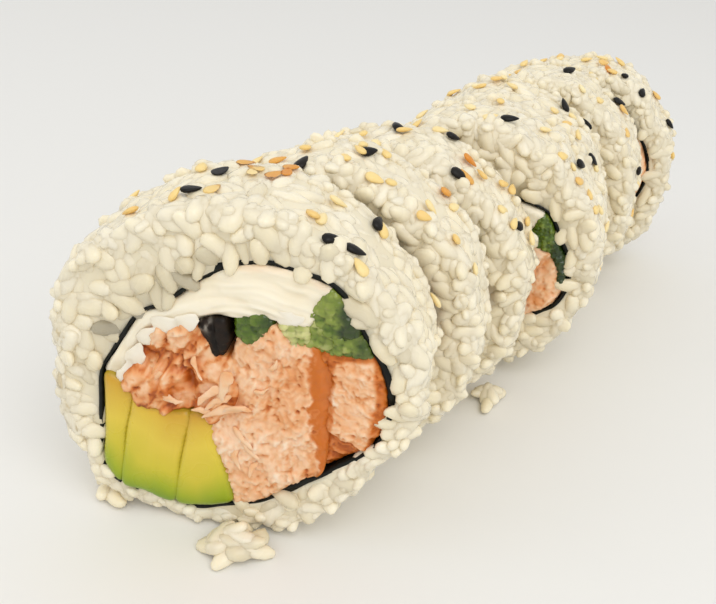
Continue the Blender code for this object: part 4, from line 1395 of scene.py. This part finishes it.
# ------------------------------------------------------------------ stage
@dataclass
class Studio:
    """Floor, backdrop, lamps and camera."""

    camera_place: tuple[float, float, float] = (77.5, -146.3, 105.0)
    camera_turn: float = 33.5
    camera_down: float = 29.9
    camera_roll: float = 3.7
    lens: float = 46.5
    key: float = 1.6
    fill: float = 0.5
    world: float = 0.8

    def floor(self) -> None:
        """A wide pale floor whose colour, not its light, makes the background."""
        size = 4.0
        mesh = bpy.data.meshes.new("floor")
        mesh.from_pydata([(-size, -size, 0), (size, -size, 0), (size, size, 0), (-size, size, 0)], [],
                         [(0, 1, 2, 3)])
        mat = bpy.data.materials.new("matt_pale_board")
        mat.use_nodes = True
        shader = mat.node_tree.nodes["Principled BSDF"]
        shader.inputs["Base Color"].default_value = linear("e9e8e4")
        shader.inputs["Roughness"].default_value = 0.8
        mesh.materials.append(mat)
        made = bpy.data.objects.new("floor", mesh)
        bpy.context.scene.collection.objects.link(made)

    def backdrop(self) -> None:
        """A world that lights softly and shows a plain pale grey."""
        world = bpy.data.worlds.new("studio")
        bpy.context.scene.world = world
        world.use_nodes = True
        tree = world.node_tree
        tree.nodes.clear()
        out = node(tree, "ShaderNodeOutputWorld")
        light = node(tree, "ShaderNodeBackground", {"Color": (1, 1, 1, 1), "Strength": self.world})
        seen = node(tree, "ShaderNodeBackground", {"Color": linear("eceae6"), "Strength": 1.0})
        path = node(tree, "ShaderNodeLightPath")
        mix = node(tree, "ShaderNodeMixShader",
                   {0: path.outputs["Is Camera Ray"], 1: light.outputs[0], 2: seen.outputs[0]})
        tree.links.new(mix.outputs[0], out.inputs[0])

    def lamp(self, name: str, place: tuple[float, float, float], size: float, watts: float) -> None:
        """A square white lamp aimed at the middle of the row."""
        data = bpy.data.lights.new(name, "AREA")
        data.shape = "SQUARE"
        data.size = size
        data.energy = watts
        made = bpy.data.objects.new(name, data)
        bpy.context.scene.collection.objects.link(made)
        made.location = Vector(place)
        made.rotation_euler = (Vector((0, 0, 0.02)) - Vector(place)).to_track_quat("-Z", "Y").to_euler()

    def camera(self) -> None:
        """The camera, turned left of the row's direction, tipped down and rolled a little."""
        data = bpy.data.cameras.new("camera")
        data.lens = self.lens
        data.sensor_width = 36.0
        data.clip_start = 0.005
        data.clip_end = 20.0
        made = bpy.data.objects.new("camera", data)
        bpy.context.scene.collection.objects.link(made)
        turn, down = math.radians(self.camera_turn), math.radians(self.camera_down)
        forward = Vector((-math.sin(turn) * math.cos(down), math.cos(turn) * math.cos(down), -math.sin(down)))
        right = Vector((math.cos(turn), math.sin(turn), 0.0))
        up = right.cross(forward)
        roll = math.radians(self.camera_roll)
        right, up = right * math.cos(roll) + up * math.sin(roll), up * math.cos(roll) - right * math.sin(roll)
        axes = Matrix((right, up, -forward)).transposed().to_4x4()
        made.matrix_world = Matrix.Translation(Vector(self.camera_place) * MM) @ axes
        bpy.context.scene.camera = made

    def build(self) -> None:
        """Set up the whole studio."""
        self.floor()
        self.backdrop()
        self.lamp("key", (0.35, -0.25, 0.55), 0.45, self.key)
        self.lamp("fill", (-0.5, -0.35, 0.35), 0.6, self.fill)
        self.camera()
        bpy.context.scene.view_settings.view_transform = "Standard"


# Seeds listed one by one: slice, angle round it, place across it in mm, and heading. Angles are degrees.
BLACK_SEEDS = [
    (1, 100.0, 3.0, 70.0), (1, 104.0, -4.0, 20.0), (1, 62.0, -7.2, 30.0), (1, 55.0, -6.4, 15.0),
    (2, 80.0, 2.0, 40.0), (3, 92.0, 4.0, 120.0), (3, 70.0, 5.0, 30.0), (3, 30.0, -2.0, 80.0),
    (4, 75.0, -3.0, 15.0), (4, 40.0, 2.0, 50.0), (5, 60.0, 4.0, 140.0), (5, 35.0, -4.0, 20.0),
    (6, 80.0, 1.0, 60.0), (6, 50.0, 5.0, 30.0), (7, 70.0, -4.0, 80.0), (7, 30.0, 2.0, 10.0),
]
TOASTED_SEEDS = [
    (1, 95.0, 7.0, 10.0), (1, 82.0, 5.5, 95.0), (1, 85.0, 4.0, 60.0), (2, 50.0, 5.0, 60.0),
    (3, 60.0, 1.0, 10.0),
]
GOLDEN_SEEDS = [
    (1, 108.0, -5.0, 40.0), (1, 70.0, -4.0, 120.0),
    (4, 50.0, -5.0, 60.0), (4, 44.0, -3.6, 100.0), (4, 38.0, -4.6, 70.0), (4, 31.0, -3.8, 120.0),
    (4, 25.0, -4.8, 80.0), (3, 40.0, -5.0, 60.0), (3, 33.0, -4.0, 100.0), (2, 40.0, -5.0, 70.0),
    (2, 28.0, -4.4, 110.0), (5, 55.0, -4.0, 60.0), (5, 48.0, -3.0, 110.0), (6, 60.0, -4.0, 70.0),
]
SMEAR_ROWS = [
    (-15.4, 0.2, 0.2, 5.0, 3.2, 70.0), (-14.0, 3.6, 0.25, 4.6, 2.8, 60.0), (-12.0, 7.0, 0.2, 4.0, 2.6, 50.0),
    (-9.2, 9.3, 0.25, 5.0, 2.6, 15.0), (-6.2, 10.3, 0.3, 4.4, 2.6, 30.0), (8.2, 12.9, 0.0, 4.4, 2.0, 5.0),
]
LOOSE_GRAINS = [
    (-17.7, -14.9, 1.2, 20.0), (-18.9, -13.0, 1.2, -50.0), (-15.6, -15.4, 1.1, 70.0), (19.6, 46.4, 1.1, 15.0),
]
SHRED_ROWS = [
    (-1.5, -3.6, 0.9, 6.5, 1.3, 200.0), (-2.2, -2.2, 0.8, 5.0, 1.1, 215.0), (0.8, -2.8, 0.9, 4.5, 1.0, 190.0),
    (-1.0, 1.0, 0.8, 5.0, 1.8, 255.0), (1.6, -8.5, 0.6, 5.0, 0.9, 310.0), (2.6, -10.5, 0.6, 4.0, 0.8, 320.0),
    (4.5, 0.5, 0.5, 3.0, 0.9, 30.0), (-4.0, -4.0, 0.9, 3.5, 1.0, 170.0), (-3.4, -1.0, 0.9, 4.6, 1.6, 225.0),
    (-9.4, -2.9, 0.7, 4.6, 1.2, 345.0), (-5.2, 3.2, 0.7, 4.0, 0.9, 285.0), (-11.6, 0.2, 0.6, 3.4, 0.9, 225.0),
    (3.0, -14.0, 0.5, 3.2, 0.9, 250.0), (6.4, 5.2, 0.5, 2.6, 0.8, 60.0), (0.6, -12.4, 0.6, 3.6, 1.0, 285.0),
]


def main() -> None:
    """Build every piece in order."""
    Studio().build()
    for plan in SLICES:
        first = plan.index == 1
        grain = GrainShape(columns=9) if first else GrainShape()
        RiceRing(plan, grain).build()
        # Painted shade: the first slice's nori is widened at these angles for the dark gaps between rice and
        # filling.
        gap_shade_bands = ((97.0, 1.1, 5.0), (84.0, 0.8, 3.0), (5.0, 0.5, 12.0), (-62.0, 0.7, 7.0)) if first else ()
        NoriRing(plan, gap_shade_bands=gap_shade_bands).build()
        for filling in (first_fillings if first else glimpsed_fillings)(plan):
            filling.build()
    Shreds("salmon_shreds", SLICES[0], Finish.SALMON, "salmon", SHRED_ROWS).build()
    Shreds("cream_cheese_smears", SLICES[0], Finish.CHEESE, "cream_cheese", SMEAR_ROWS,
           0.36, 0.1, 0.74).build()
    LooseGrains(LOOSE_GRAINS).build()
    RiceClump("rice_clump_front", 7.2, -11.8, (5.8, 3.6, 3.0), 25.0, 16).build()
    RiceClump("rice_clump_side", 18.6, 48.6, (2.9, 2.6, 2.0), -10.0, 5).build()
    SesameSeeds("black_sesame_seeds", Finish.BLACK_SEED, 3.2, 1.9, 1.0, (0.1, 0.7), BLACK_SEEDS, 1).build()
    SesameSeeds("white_sesame_seeds", Finish.WHITE_SEED, 2.9, 1.7, 0.85, (0.5, 1.0),
                GOLDEN_SEEDS, 12, seed=9).build()
    SesameSeeds("toasted_sesame_seeds", Finish.WHITE_SEED, 3.1, 1.8, 0.9, (0.0, 0.3),
                TOASTED_SEEDS, 1, seed=12).build()


if __name__ == "__main__":
    main()
